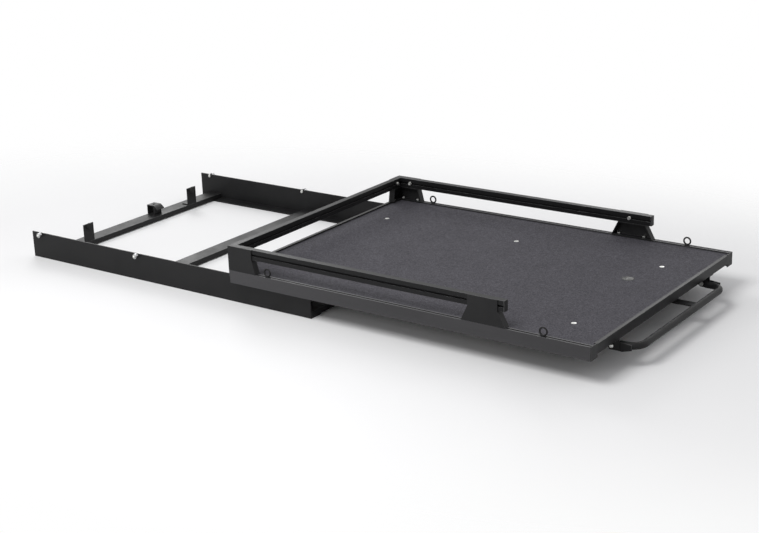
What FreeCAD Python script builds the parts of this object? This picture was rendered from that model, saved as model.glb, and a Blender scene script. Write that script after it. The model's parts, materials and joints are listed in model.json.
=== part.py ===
"""Pull-out cargo deck on rollers, shown fully out, as one parametric document.

Frame: millimetres, X across to the right, Y forward, Z up. The origin is the middle of the
four mounting holes, on the floor that they bolt to. The deck rides out towards -Y.
"""
import FreeCAD, Part
import math
import os
from types import SimpleNamespace

import Sketcher
from FreeCAD import Placement, Rotation, Vector

# Driving dimensions, kept in the sheet
DIMENSIONS = dict(
    # Overall
    deck_width=1219.0,
    deck_length=1651.0,
    deck_top=150.0,
    deck_travel=1238.0,
    base_length=1600.0,
    # Side extrusion: track below, board seat inside, T-slot on top
    side_height=54.0,
    side_wall=3.0,
    track_floor=34.0,
    track_curb=2.5,
    track_gap=22.6,
    roof_thick=3.4,
    roof_width=48.0,
    chamber_height=10.0,
    head_width=21.0,
    slot_mouth=8.4,
    slot_room_width=14.0,
    slot_room_height=9.0,
    slot_lip=3.0,
    slot_wall=2.5,
    seat_height=36.0,
    seat_width=8.0,
    # Board and the rails at its two ends
    board_thick=12.0,
    board_gap=0.3,
    end_rail_wall=3.4,
    end_rail_lip=14.0,
    end_rail_foot=20.0,
    end_rail_ledge=28.0,
    rear_rail_low=14.0,
    front_rail_low=17.5,
    cap_thick=4.0,
    cap_plug=15.0,
    cap_clearance=0.25,
    track_clearance=0.4,
    cleat_length=56.0,
    cleat_reach=110.0,
    cleat_thick=3.6,
    # Cross-members under the board
    hat_crown=30.0,
    hat_foot=11.0,
    hat_wall=2.5,
    hat_first=172.0,
    hat_last=137.0,
    screw_left=417.0,
    screw_right=312.0,
    screw_hole=3.2,
    screw_shank=3.0,
    screw_head=10.0,
    screw_sink=3.5,
    screw_tail=8.0,
    hole_across=115.0,
    hole_offset=222.0,
    hole_radius=22.0,
    ring_wall=1.5,
    ring_flange=4.0,
    ring_rise=1.0,
    # Rivets
    rivet_radius=3.0,
    rivet_hole=3.2,
    rivet_head=5.5,
    rivet_head_thick=1.8,
    roof_rivet_at=42.0,
    # Guard rails
    guard_height=104.0,
    guard_tall=43.0,
    guard_thick=25.0,
    guard_start=350.0,
    guard_lip=2.5,
    guard_room=14.0,
    guard_deep=8.0,
    guard_wall=3.0,
    # Guard-rail brackets
    plate_thick=3.5,
    pan_wall=3.5,
    rear_foot_start=345.0,
    rear_foot=190.0,
    rear_top_start=378.0,
    rear_top=127.0,
    rear_bolt_first=392.0,
    rear_bolt_pitch=117.0,
    rear_rail_bolt=452.0,
    corner_foot=139.0,
    corner_top=123.0,
    corner_bolt_first=30.0,
    corner_bolt_pitch=80.0,
    front_foot=90.0,
    front_top=80.0,
    front_bolt_at=66.0,
    front_bolt_in=10.5,
    lip_nut_thick=5.0,
    corner_rail_bolt=80.0,
    front_rail_bolt=56.0,
    bolt_radius=4.0,
    bolt_hole=4.25,
    bolt_flats=13.0,
    bolt_head=5.3,
    washer_radius=8.0,
    washer_thick=1.6,
    rail_bolt_bite=2.5,
    nut_long=18.0,
    nut_thick=6.0,
    # Tie-down eyes
    eye_offset=195.0,
    eye_outer=18.0,
    eye_wire=3.4,
    eye_collar=8.5,
    eye_collar_thick=3.0,
    # Base frame
    web_at=36.0,
    web_thick=5.0,
    web_above_axle=8.0,
    foot_width=64.0,
    foot_thick=5.0,
    bed_hole_at=75.0,
    bed_hole_y=650.0,
    bed_hole_radius=5.5,
    member_width=76.0,
    member_top=28.0,
    member_wall=3.0,
    member_middle=80.0,
    # Track rollers
    roller_radius=11.0,
    roller_start=14.5,
    roller_width=15.0,
    roller_edge=1.0,
    race_radius=7.5,
    race_clearance=0.08,
    race_start=14.0,
    race_width=16.0,
    neck_radius=5.5,
    axle_radius=4.0,
    axle_head=6.5,
    axle_head_thick=4.5,
    axle_nut_thick=6.5,
    roller_first_in=40.0,
    roller_second_in=340.0,
    roller_third_in=660.0,
    roller_fourth_in=60.0,
    # End stops
    stop_across=350.0,
    stop_width=60.0,
    stop_plate=5.0,
    stop_foot=40.0,
    stop_height=112.0,
    stop_tab=4.0,
    stop_tab_back=8.0,
    stop_tab_low=85.0,
    stop_slack=0.5,
    bumper_radius=15.0,
    bumper_thick=12.0,
    bumper_up=100.0,
    # Pull handle
    tube_radius=14.0,
    tube_wall=2.0,
    tube_half=371.0,
    tube_bend=52.0,
    tube_reach=66.0,
    tube_root=8.0,
    tube_up=80.0,
    pivot_in=32.0,
    pivot_up=76.0,
    pivot_radius=5.0,
    pivot_clearance=0.08,
    pivot_head=8.5,
    pivot_head_thick=5.5,
    pivot_nut_flats=16.0,
    arm_thick=5.0,
    arm_eye=15.0,
    hanger_thick=3.6,
    hanger_gap=0.3,
    hanger_flange=34.0,
    hanger_depth=56.0,
    hanger_low=62.0,
    # Latch: lever, pull rod, cam plate, plunger
    latch_across=135.0,
    lever_arm=34.0,
    lever_width=42.0,
    lever_thick=5.0,
    lever_pin=4.0,
    lever_notch=7.4,
    weld_gap=0.02,
    rod_radius=4.0,
    rod_eye_thick=6.0,
    rod_eye_tall=20.0,
    rod_eye_long=34.0,
    pin_play=0.3,
    slot_rise=5.0,
    guide_thick=4.0,
    guide_width=24.0,
    guide_hole=4.3,
    spring_mean=5.2,
    spring_wire=0.8,
    spring_turns=4.0,
    cam_thick=5.0,
    cam_long=64.0,
    cam_back=10.0,
    cam_low=82.0,
    cam_high=108.5,
    cross_pin=3.0,
    cross_pin_up=89.0,
    plunger_back=102.0,
    plunger_radius=7.0,
    plunger_low=60.0,
    plunger_high=112.0,
    plunger_nose=4.0,
    stem_radius=3.6,
    stem_high=119.5,
    fork_gap=5.6,
    fork_low=69.0,
    housing_inside=40.0,
    housing_low=78.0,
    housing_flange=22.0,
    housing_front=34.0,
    housing_hole=7.3,
    keeper_top=74.0,
    keeper_wall=4.0,
    keeper_half=23.0,
    keeper_width=50.0,
    keeper_hole=8.0,
    keeper_ramp=20.0,
)

DIAGONAL = math.sqrt(0.5)
COIL_STEPS = 16
SIDES = {"left": -1, "right": 1}
PLANES = {"XY": "XY_Plane", "XZ": "XZ_Plane", "YZ": "YZ_Plane"}


class Size:
    """A length that knows its number and the sheet formula it comes from."""

    def __init__(self, value, formula):
        self.value = float(value)
        self.formula = formula

    def __float__(self):
        return self.value

    def __add__(self, other):
        return Size(self.value + float(other), f"({self.formula} + {formula(other)})")

    def __radd__(self, other):
        return self + other

    def __sub__(self, other):
        return Size(self.value - float(other), f"({self.formula} - {formula(other)})")

    def __rsub__(self, other):
        return Size(float(other) - self.value, f"({formula(other)} - {self.formula})")

    def __mul__(self, other):
        return Size(self.value * float(other), f"({self.formula} * {formula(other)})")

    def __rmul__(self, other):
        return self * other

    def __truediv__(self, other):
        return Size(self.value / float(other), f"({self.formula} / {formula(other)})")

    def __neg__(self):
        return Size(-self.value, f"(0 - {self.formula})")


def formula(item):
    """The sheet formula of a size, or a plain number as text."""
    return item.formula if isinstance(item, Size) else f"({float(item)!r})"


def bind(thing, path, item):
    """Tie a property to the sheet."""
    thing.setExpression(path, formula(item))


doc = FreeCAD.newDocument("bed_slide")
sheet = doc.addObject("Spreadsheet::Sheet", "sizes")
for row, (word, number) in enumerate(DIMENSIONS.items(), start=1):
    sheet.set(f"A{row}", word)
    sheet.set(f"B{row}", str(number))
    sheet.setAlias(f"B{row}", word)
doc.recompute()
s = SimpleNamespace(**{word: Size(number, f"sizes.{word}") for word, number in DIMENSIONS.items()})

# Places worked out from the sheet
half = s.deck_width / 2
low = s.deck_top - s.side_height
tail = -(s.deck_length / 2) - s.deck_travel
nose = tail + s.deck_length
roof = low + s.side_wall + s.track_gap + s.roof_thick
seat = low + s.seat_height
board_top = seat + s.board_thick
axle_up = low + s.side_wall + s.track_gap / 2
slot_at = s.head_width / 2
rail_low = s.deck_top + s.guard_height - s.guard_tall
rail_top = s.deck_top + s.guard_height
hat_half = s.hat_crown / 2 + s.hat_foot
hat_rows = [tail + s.hat_first, (tail + s.hat_first + nose - s.hat_last) / 2, nose - s.hat_last]
rod_up = s.pivot_up + s.lever_arm
pivot_y = tail + s.pivot_in
plunger_y = nose - s.plunger_back
keeper_y = plunger_y + s.deck_travel
tab_back = hat_rows[2] - hat_half - s.stop_tab_back
tab_front = tab_back + s.stop_tab
out_plate = tab_back - s.bumper_thick
in_plate = tab_front + s.deck_travel + s.stop_slack + s.bumper_thick

nodes = {}


def across(side, inward):
    """X of a point that lies inward from the deck's outer face."""
    return (half - inward) * side


def circle(a, b, radius):
    """A round outline for a sketch."""
    return ("circle", a, b, radius)


def block(low_a, low_b, high_a, high_b):
    """A rectangular outline for a sketch."""
    return [(low_a, low_b), (high_a, low_b), (high_a, high_b), (low_a, high_b)]


def new_body(name, keep=True):
    """A body of the document; a kept one becomes a node of the part."""
    body = doc.addObject("PartDesign::Body", name)
    body.Label = name
    if keep:
        nodes[name] = body
    return body


def hold(sketch, point, a, b):
    """Constraints and formulas that hold one sketch point at (a, b)."""
    made = []
    for kind, value in (("DistanceX", a), ("DistanceY", b)):
        number = sketch.addConstraint(Sketcher.Constraint(kind, -1, 1, *point, float(value)))
        made.append((number, value))
    return made


def sketch_on(body, plane, outlines, offset=0.0):
    """A sketch on one of the body's own planes, each corner held by the sheet."""
    sketch = body.newObject("Sketcher::SketchObject", body.Name + "_sketch")
    support = [item for item in body.Origin.OriginFeatures if item.Role == PLANES[plane]][0]
    sketch.AttachmentSupport = (support, [""])
    sketch.MapMode = "FlatFace"
    away = -offset if plane == "XZ" else offset
    sketch.AttachmentOffset = Placement(Vector(0, 0, float(away)), Rotation())
    bind(sketch, "AttachmentOffset.Base.z", away)
    held = []
    for outline in outlines:
        first = sketch.GeometryCount
        if outline[0] == "circle":
            a, b, radius = outline[1:]
            centre = Vector(float(a), float(b), 0)
            sketch.addGeometry(Part.Circle(centre, Vector(0, 0, 1), float(radius)), False)
            held += hold(sketch, (first, 3), a, b)
            number = sketch.addConstraint(Sketcher.Constraint("Radius", first, float(radius)))
            held.append((number, radius))
            continue
        corners = [Vector(float(a), float(b), 0) for a, b in outline]
        count = len(corners)
        lines = [Part.LineSegment(corners[k], corners[(k + 1) % count]) for k in range(count)]
        sketch.addGeometry(lines, False)
        for k in range(count):
            following = first + (k + 1) % count
            sketch.addConstraint(Sketcher.Constraint("Coincident", first + k, 2, following, 1))
        for k, (a, b) in enumerate(outline):
            held += hold(sketch, (first + k, 1), a, b)
    for number, value in held:
        if isinstance(value, Size):
            bind(sketch, f"Constraints[{number}]", value)
    return sketch


def prism(body, plane, outlines, start, length):
    """Pad outlines from start, along +X, +Y or +Z, for a length."""
    pad = body.newObject("PartDesign::Pad", body.Name + "_pad")
    pad.Profile = sketch_on(body, plane, outlines, start)
    pad.Length = float(length)
    bind(pad, "Length", length)
    pad.Reversed = plane == "XZ"
    return body


def cut(body, plane, outlines, start, length):
    """Pocket outlines from start, along +X, +Y or +Z, for a length."""
    doc.recompute()
    before = body.Shape.Volume
    pocket = body.newObject("PartDesign::Pocket", body.Name + "_pocket")
    pocket.Profile = sketch_on(body, plane, outlines, start)
    pocket.Length = float(length)
    bind(pocket, "Length", length)
    pocket.Reversed = plane != "XZ"
    doc.recompute()
    if body.Shape.Volume >= before:
        raise RuntimeError(f"a cut in {body.Label} removed nothing")
    return body


def turned(body, profile):
    """Revolve a half profile of (radius, height) points about Z."""
    spin = body.newObject("PartDesign::Revolution", body.Name + "_turn")
    sketch = sketch_on(body, "XZ", [profile])
    spin.Profile = sketch
    spin.ReferenceAxis = (sketch, ["V_Axis"])
    spin.Angle = 360.0
    return body


def put(body, x, y, z, rotation=None):
    """Place a body made at the origin, with its place tied to the sheet."""
    body.Placement = Placement(Vector(float(x), float(y), float(z)), rotation or Rotation())
    for axis, value in zip("xyz", (x, y, z)):
        bind(body, f"Placement.Base.{axis}", value)
    return body


def group(name, master, places):
    """Copies of one piece as separate solids of one node."""
    doc.recompute()
    copies = []
    for x, y, z, rotation in places:
        shape = master.Shape.copy()
        shape.Placement = Placement(Vector(float(x), float(y), float(z)), rotation or Rotation())
        copies.append(shape)
    feature = doc.addObject("Part::Feature", name)
    feature.Label = name
    feature.Shape = Part.makeCompound(copies)
    nodes[name] = feature


def together(name, bodies):
    """Like pieces, each a body of its own, kept as separate solids of one node."""
    compound = doc.addObject("Part::Compound", name)
    compound.Label = name
    compound.Links = bodies
    nodes[name] = compound


def hexagon(flats):
    """A hexagon outline about the sketch origin, by its width across flats."""
    reach = flats / math.sqrt(3)
    turns = [math.radians(30 + 60 * k) for k in range(6)]
    return [(reach * math.cos(turn), reach * math.sin(turn)) for turn in turns]


def hex_bolt(name, radius, flats, head, length):
    """Bolt with its seat at z = 0, the head above and the shank below."""
    body = new_body(name, keep=False)
    prism(body, "XY", [hexagon(flats)], 0.0, head)
    return prism(body, "XY", [circle(0.0, 0.0, radius)], -length, length)


def hex_nut(name, radius, flats, thick):
    """Nut with its seat at z = 0."""
    return prism(new_body(name, keep=False), "XY",
                 [hexagon(flats), circle(0.0, 0.0, radius)], 0.0, thick)


POINT_UP = Rotation()
QUARTER_TURN = Rotation(Vector(0, 0, 1), 90)
TO_RIGHT = Rotation(Vector(0, 0, 1), Vector(1, 0, 0))
TO_LEFT = Rotation(Vector(0, 0, 1), Vector(-1, 0, 0))
TO_FRONT = Rotation(Vector(0, 0, 1), Vector(0, 1, 0))
TO_TAIL = Rotation(Vector(0, 0, 1), Vector(0, -1, 0))
FACING_TAIL = Rotation(Vector(0, 0, 1), 180)
INWARD = {-1: TO_RIGHT, 1: TO_LEFT}


# Deck: side extrusions

def side_extrusion(word, side):
    """Track for the rollers, ledge for the board, T-slot along the top."""
    wall_in = s.head_width - s.slot_wall
    room_in = slot_at - s.slot_room_width / 2
    room_out = slot_at + s.slot_room_width / 2
    mouth_in = slot_at - s.slot_mouth / 2
    mouth_out = slot_at + s.slot_mouth / 2
    top = s.side_height
    lip = top - s.slot_lip
    floor = lip - s.slot_room_height
    ceiling = s.side_wall + s.track_gap
    deck = ceiling + s.roof_thick
    ledge = s.head_width + s.seat_width
    outer = [
        (0.0, 0.0), (s.track_floor, 0.0),
        (s.track_floor, s.side_wall + s.track_curb),
        (s.track_floor - s.side_wall, s.side_wall + s.track_curb),
        (s.track_floor - s.side_wall, s.side_wall),
        (s.side_wall, s.side_wall), (s.side_wall, ceiling),
        (s.roof_width, ceiling), (s.roof_width, deck),
        (s.head_width, deck), (s.head_width, s.seat_height - s.side_wall),
        (ledge, s.seat_height - s.side_wall), (ledge, s.seat_height),
        (s.head_width, s.seat_height), (s.head_width, top),
        (mouth_out, top), (mouth_out, lip), (room_out, lip), (room_out, floor),
        (room_in, floor), (room_in, lip), (mouth_in, lip), (mouth_in, top), (0.0, top),
    ]
    chamber = [(s.side_wall, deck), (wall_in, deck), (wall_in, deck + s.chamber_height),
               (s.side_wall, deck + s.chamber_height)]
    outlines = [[(across(side, u), low + w) for u, w in outline] for outline in (outer, chamber)]
    body = new_body(f"side_extrusion_{word}")
    prism(body, "XZ", outlines, tail + s.cap_thick, s.deck_length - s.cap_thick * 2)
    rivets = [circle(across(side, s.roof_rivet_at), y + shift, s.rivet_hole)
              for y in hat_rows for shift in (hat_rivet, -hat_rivet)]
    rivets += [circle(across(side, s.roof_rivet_at), y, s.rivet_hole) for y in cleat_rows]
    return cut(body, "XY", rivets, low + ceiling - 1.0, s.roof_thick + 2.0)


hat_rivet = s.hat_crown / 2 + s.hat_foot / 2
cleat_margin = s.cap_thick + s.board_gap
cleat_rows = [tail + cleat_margin + s.cleat_length * 0.7, nose - cleat_margin - s.cleat_length * 0.7]
for word, side in SIDES.items():
    side_extrusion(word, side)

# Deck: end caps of the side extrusions


def end_cap(word, side):
    """End plates with a plug in the chamber; the front one leaves the track open."""
    play = s.cap_clearance
    plug_low = roof + play
    inner = s.head_width - s.slot_wall - play
    plug = block(across(side, s.side_wall + play), plug_low, across(side, inner),
                 roof + s.chamber_height - play)
    track_top = roof - s.roof_thick + s.track_clearance
    for end, bottom, start, plug_start in (
            ("rear", low, tail, tail + s.cap_thick),
            ("front", track_top, nose - s.cap_thick, nose - s.cap_thick - s.cap_plug)):
        plate = block(across(side, 0.0), bottom, across(side, s.roof_width), s.deck_top)
        body = new_body(f"end_cap_{end}_{word}", keep=False)
        prism(body, "XZ", [plate], start, s.cap_thick)
        end_caps.append(prism(body, "XZ", [plug], plug_start, s.cap_plug))


end_caps = []
for word, side in SIDES.items():
    end_cap(word, side)
together("end_caps", end_caps)

# Deck: rails across the two ends

front_bolts = [(across(side, s.front_bolt_at)) for side in SIDES.values()]
hanger_x = s.tube_half + s.tube_radius + s.arm_thick + s.hanger_gap


def end_rail(name, outward, low_edge, top_edge):
    """Rail with a lip over the board, a ledge under it and a foot below."""
    wall = s.end_rail_wall
    face = tail if outward < 0 else nose
    profile = [
        (0.0, low + low_edge), (s.end_rail_foot, low + low_edge),
        (s.end_rail_foot, low + low_edge + wall), (wall, low + low_edge + wall),
        (wall, seat - wall), (s.end_rail_ledge, seat - wall), (s.end_rail_ledge, seat),
        (wall, seat), (wall, board_top), (s.end_rail_lip, board_top),
        (s.end_rail_lip, top_edge), (0.0, top_edge),
    ]
    outline = [(face - depth * outward, height) for depth, height in profile]
    body = new_body(name)
    reach = half - s.roof_width
    prism(body, "YZ", [outline], -reach, reach * 2)
    rivets = [circle((half - s.cleat_reach + s.hat_foot) * side, face - s.end_rail_lip * 1.4 * outward,
                     s.rivet_hole) for side in SIDES.values()]
    return cut(body, "XY", rivets, seat - wall - 1.0, wall + 2.0)


rear_rail = end_rail("rear_end_rail", -1, s.rear_rail_low, board_top + s.end_rail_wall)
front_rail = end_rail("front_end_rail", 1, s.front_rail_low, s.deck_top)
hanger_rivets = [((hanger_x + s.hanger_flange * 0.6) * side, tail + s.end_rail_foot * 0.6)
                 for side in SIDES.values()]
cut(rear_rail, "XY", [circle(x, y, s.rivet_hole) for x, y in hanger_rivets],
    low + s.rear_rail_low - 1.0, s.end_rail_wall + 2.0)
front_lip_y = nose - s.front_bolt_in
front_spots = [circle(x, front_lip_y, s.bolt_hole) for x in front_bolts]
cut(front_rail, "XY", front_spots, board_top - 1.0, s.deck_top - board_top + 2.0)
cut(front_rail, "XY", front_spots, seat - s.end_rail_wall - 1.0, s.end_rail_wall + 2.0)

# Deck: board, access-hole ring, screws

board_start = tail + s.cap_thick + s.board_gap
board_length = s.deck_length - (s.cap_thick + s.board_gap) * 2
board_half = half - s.head_width - s.board_gap
screw_spots = [(x, y) for y in hat_rows for x in (-s.screw_left, s.screw_right)]
board = prism(new_body("deck_board"), "XY",
              [block(-board_half, board_start, board_half, board_start + board_length)],
              seat, s.board_thick)
cut(board, "XY", [circle(x, y, s.screw_hole) for x, y in screw_spots]
    + front_spots + [circle(s.hole_across, tail + s.hole_offset, s.hole_radius)],
    seat - 1.0, s.board_thick + 2.0)
cut(board, "XY", [circle(x, y, s.screw_head + s.board_gap) for x, y in screw_spots],
    board_top - s.screw_sink, s.screw_sink + 1.0)

ring = turned(new_body("access_hole_ring"), [
    (s.hole_radius - s.ring_wall, 0.0), (s.hole_radius, 0.0), (s.hole_radius, s.board_thick),
    (s.hole_radius + s.ring_flange, s.board_thick),
    (s.hole_radius + s.ring_flange, s.board_thick + s.ring_rise),
    (s.hole_radius - s.ring_wall, s.board_thick + s.ring_rise)])
put(ring, s.hole_across, tail + s.hole_offset, seat)

screw = turned(new_body("screw_master", keep=False), [
    (0.0, -s.screw_sink - s.screw_tail - s.hat_wall - s.board_thick),
    (s.screw_shank, -s.screw_sink - s.screw_tail - s.hat_wall - s.board_thick),
    (s.screw_shank, -s.screw_sink), (s.screw_head, -s.screw_sink * 0.15), (s.screw_head, 0.0), (0.0, 0.0)])
group("deck_screws", screw, [(x, y, board_top, POINT_UP) for x, y in screw_spots])

# Deck: cross-members


def cross_member(number, y):
    """Pressed hat whose feet stand on the roofs of the two side tracks."""
    crown = s.hat_crown / 2
    wall = s.hat_wall
    reach = half - s.head_width - s.seat_width - s.board_gap
    outline = [
        (y - hat_half, roof), (y - crown + wall, roof), (y - crown + wall, seat - wall),
        (y + crown - wall, seat - wall), (y + crown - wall, roof), (y + hat_half, roof),
        (y + hat_half, roof + wall), (y + crown, roof + wall), (y + crown, seat),
        (y - crown, seat), (y - crown, roof + wall), (y - hat_half, roof + wall)]
    body = prism(new_body(f"deck_cross_member_{number}"), "YZ", [outline], -reach, reach * 2)
    feet = [circle(across(side, s.roof_rivet_at), y + shift, s.rivet_hole)
            for side in SIDES.values() for shift in (hat_rivet, -hat_rivet)]
    feet += [circle(x, y + shift, s.rivet_hole) for x, shift in foot_rivets.get(number, [])]
    cut(body, "XY", feet, roof - 1.0, wall + 2.0)
    spots = [circle(x, y, s.screw_hole) for x in (-s.screw_left, s.screw_right)]
    return cut(body, "XY", spots, seat - wall - 1.0, wall + 2.0)


housing_rivet_x = s.housing_inside / 2 + s.roof_thick + s.housing_flange / 2
latch_rivets = [(s.latch_across + housing_rivet_x * turn, shift)
                for turn in (-1, 1) for shift in (hat_rivet, -hat_rivet)]
tab_rivets = [(s.stop_across * side + s.stop_width * share * side, shift)
              for side in SIDES.values() for share in (0.25, -0.25)
              for shift in (hat_rivet, -hat_rivet)]
foot_rivets = {3: latch_rivets + tab_rivets}
for number, y in enumerate(hat_rows, start=1):
    cross_member(number, y)

# Deck: corner cleats under the end rails


def corner_cleat(name, side, outward):
    """Flat plate that ties a side extrusion's roof to an end rail's ledge."""
    near = (tail + cleat_margin) if outward < 0 else (nose - cleat_margin)
    far = near - s.cleat_length * outward
    start = s.head_width + s.board_gap
    body = prism(new_body(name, keep=False), "XY",
                 [block(across(side, s.cleat_reach), near, across(side, start), far)],
                 roof, s.cleat_thick)
    face = tail if outward < 0 else nose
    row = cleat_rows[0] if outward < 0 else cleat_rows[1]
    holes = [circle(across(side, s.roof_rivet_at), row, s.rivet_hole),
             circle((half - s.cleat_reach + s.hat_foot) * side,
                    face - s.end_rail_lip * 1.4 * outward, s.rivet_hole)]
    if outward > 0:
        holes.append(circle(across(side, s.front_bolt_at), front_lip_y, s.bolt_hole))
    return cut(body, "XY", holes, roof - 1.0, s.cleat_thick + 2.0)


together("corner_cleats", [corner_cleat(f"corner_cleat_{end}_{word}", side, outward)
                           for word, side in SIDES.items()
                           for end, outward in (("rear", -1), ("front", 1))])

# Deck: rivets


def rivet(name, grip):
    """Rivet with its head below z = 0 and a shank that fills its grip."""
    return turned(new_body(name, keep=False), [
        (0.0, -s.rivet_head_thick), (s.rivet_head * 0.6, -s.rivet_head_thick),
        (s.rivet_head, 0.0), (s.rivet_radius, 0.0), (s.rivet_radius, grip), (0.0, grip)])


ceiling_up = roof - s.roof_thick
short_places = [(across(side, s.roof_rivet_at), y + shift, ceiling_up, POINT_UP)
                for side in SIDES.values() for y in hat_rows for shift in (hat_rivet, -hat_rivet)]
short_places += [(x, hat_rows[2] + shift, ceiling_up, POINT_UP) for x, shift in foot_rivets[3]]
group("cross_member_rivets", rivet("short_rivet_master", s.roof_thick + s.hat_wall), short_places)

long_places = [(across(side, s.roof_rivet_at), y, ceiling_up, POINT_UP)
               for side in SIDES.values() for y in cleat_rows]
long_places += [((half - s.cleat_reach + s.hat_foot) * side, y, roof, POINT_UP)
                for side in SIDES.values()
                for y in (tail + s.end_rail_lip * 1.4, nose - s.end_rail_lip * 1.4)]
long_places += [(x, y, low + s.rear_rail_low - s.hanger_thick, POINT_UP) for x, y in hanger_rivets]
group("end_frame_rivets", rivet("long_rivet_master", s.roof_thick + s.cleat_thick), long_places)

# Guard rails


def guard_outline(start, direction, floor):
    """Hollow rail with a T-groove along each of its two tall faces."""
    tall = s.guard_tall
    thick = s.guard_thick
    mouth_low = (tall - s.slot_mouth) / 2
    mouth_high = (tall + s.slot_mouth) / 2
    room_low = (tall - s.guard_room) / 2
    room_high = (tall + s.guard_room) / 2
    lip = s.guard_lip
    deep = s.guard_deep
    half_loop = [(0.0, tall), (0.0, mouth_high), (lip, mouth_high), (lip, room_high),
                 (deep, room_high), (deep, room_low), (lip, room_low), (lip, mouth_low),
                 (0.0, mouth_low), (0.0, 0.0)]
    other = [(thick - a, b) for a, b in reversed(half_loop)]
    wall = s.guard_wall
    lower = block(wall, wall, thick - wall, room_low - wall)
    upper = block(wall, room_high + wall, thick - wall, tall - wall)
    return [[(start + a * direction, floor + b) for a, b in loop]
            for loop in (half_loop + other, lower, upper)]


rail_caps = []
side_rail_start = tail + s.guard_start + s.cap_thick
side_rail_length = nose - s.plate_thick - side_rail_start
rail_mid = rail_low + s.guard_tall / 2
rail_bolt_rows = [tail + s.rear_rail_bolt, nose - s.corner_rail_bolt]
for word, side in SIDES.items():
    body = new_body(f"guard_rail_{word}")
    prism(body, "XZ", guard_outline(across(side, s.plate_thick), -side, rail_low),
          side_rail_start, side_rail_length)
    edge = across(side, s.plate_thick) if side < 0 else across(side, s.plate_thick + s.guard_thick)
    cut(body, "YZ", [circle(y, rail_mid, s.bolt_hole) for y in rail_bolt_rows],
        edge - 1.0, s.guard_thick + 2.0)
    rail_end = block(across(side, s.plate_thick), rail_low,
                     across(side, s.plate_thick + s.guard_thick), rail_top)
    rail_caps.append(prism(new_body(f"guard_rail_cap_{word}", keep=False), "XZ", [rail_end],
                           tail + s.guard_start, s.cap_thick))
together("guard_rail_caps", rail_caps)

front_reach = half - s.plate_thick - s.guard_thick
front_guard = prism(new_body("guard_rail_front"), "YZ",
                    guard_outline(nose - s.plate_thick, -1, rail_low), -front_reach, front_reach * 2)
front_rail_bolts = [across(side, s.front_rail_bolt) for side in SIDES.values()]
cut(front_guard, "XZ", [circle(x, rail_mid, s.bolt_hole) for x in front_rail_bolts],
    nose - s.plate_thick - s.guard_thick - 1.0, s.guard_thick + 2.0)

# Guard-rail brackets

pan_depth = s.plate_thick + s.guard_thick
pan_top = rail_low


def slot_bolts(offsets, side):
    """Centres of the foot bolts of a bracket, in the T-slot."""
    return [(across(side, slot_at), y) for y in offsets]


def pan(body, plane, foot, top, start, depth, inward):
    """Folded pan: outer plate, sloped ends, top and foot, open on its inner side."""
    outer = [(foot[0], s.deck_top), (foot[1], s.deck_top), (top[1], pan_top), (top[0], pan_top)]
    wall = s.pan_wall
    floor = s.deck_top + s.plate_thick
    inner = [(foot[0] + wall * 1.5, floor), (foot[1] - wall * 1.5, floor),
             (top[1] - wall, pan_top - wall), (top[0] + wall, pan_top - wall)]
    prism(body, plane, [outer], start, depth)
    opened = start if inward > 0 else start + s.plate_thick
    cut(body, plane, [inner], opened, depth - s.plate_thick)


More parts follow.
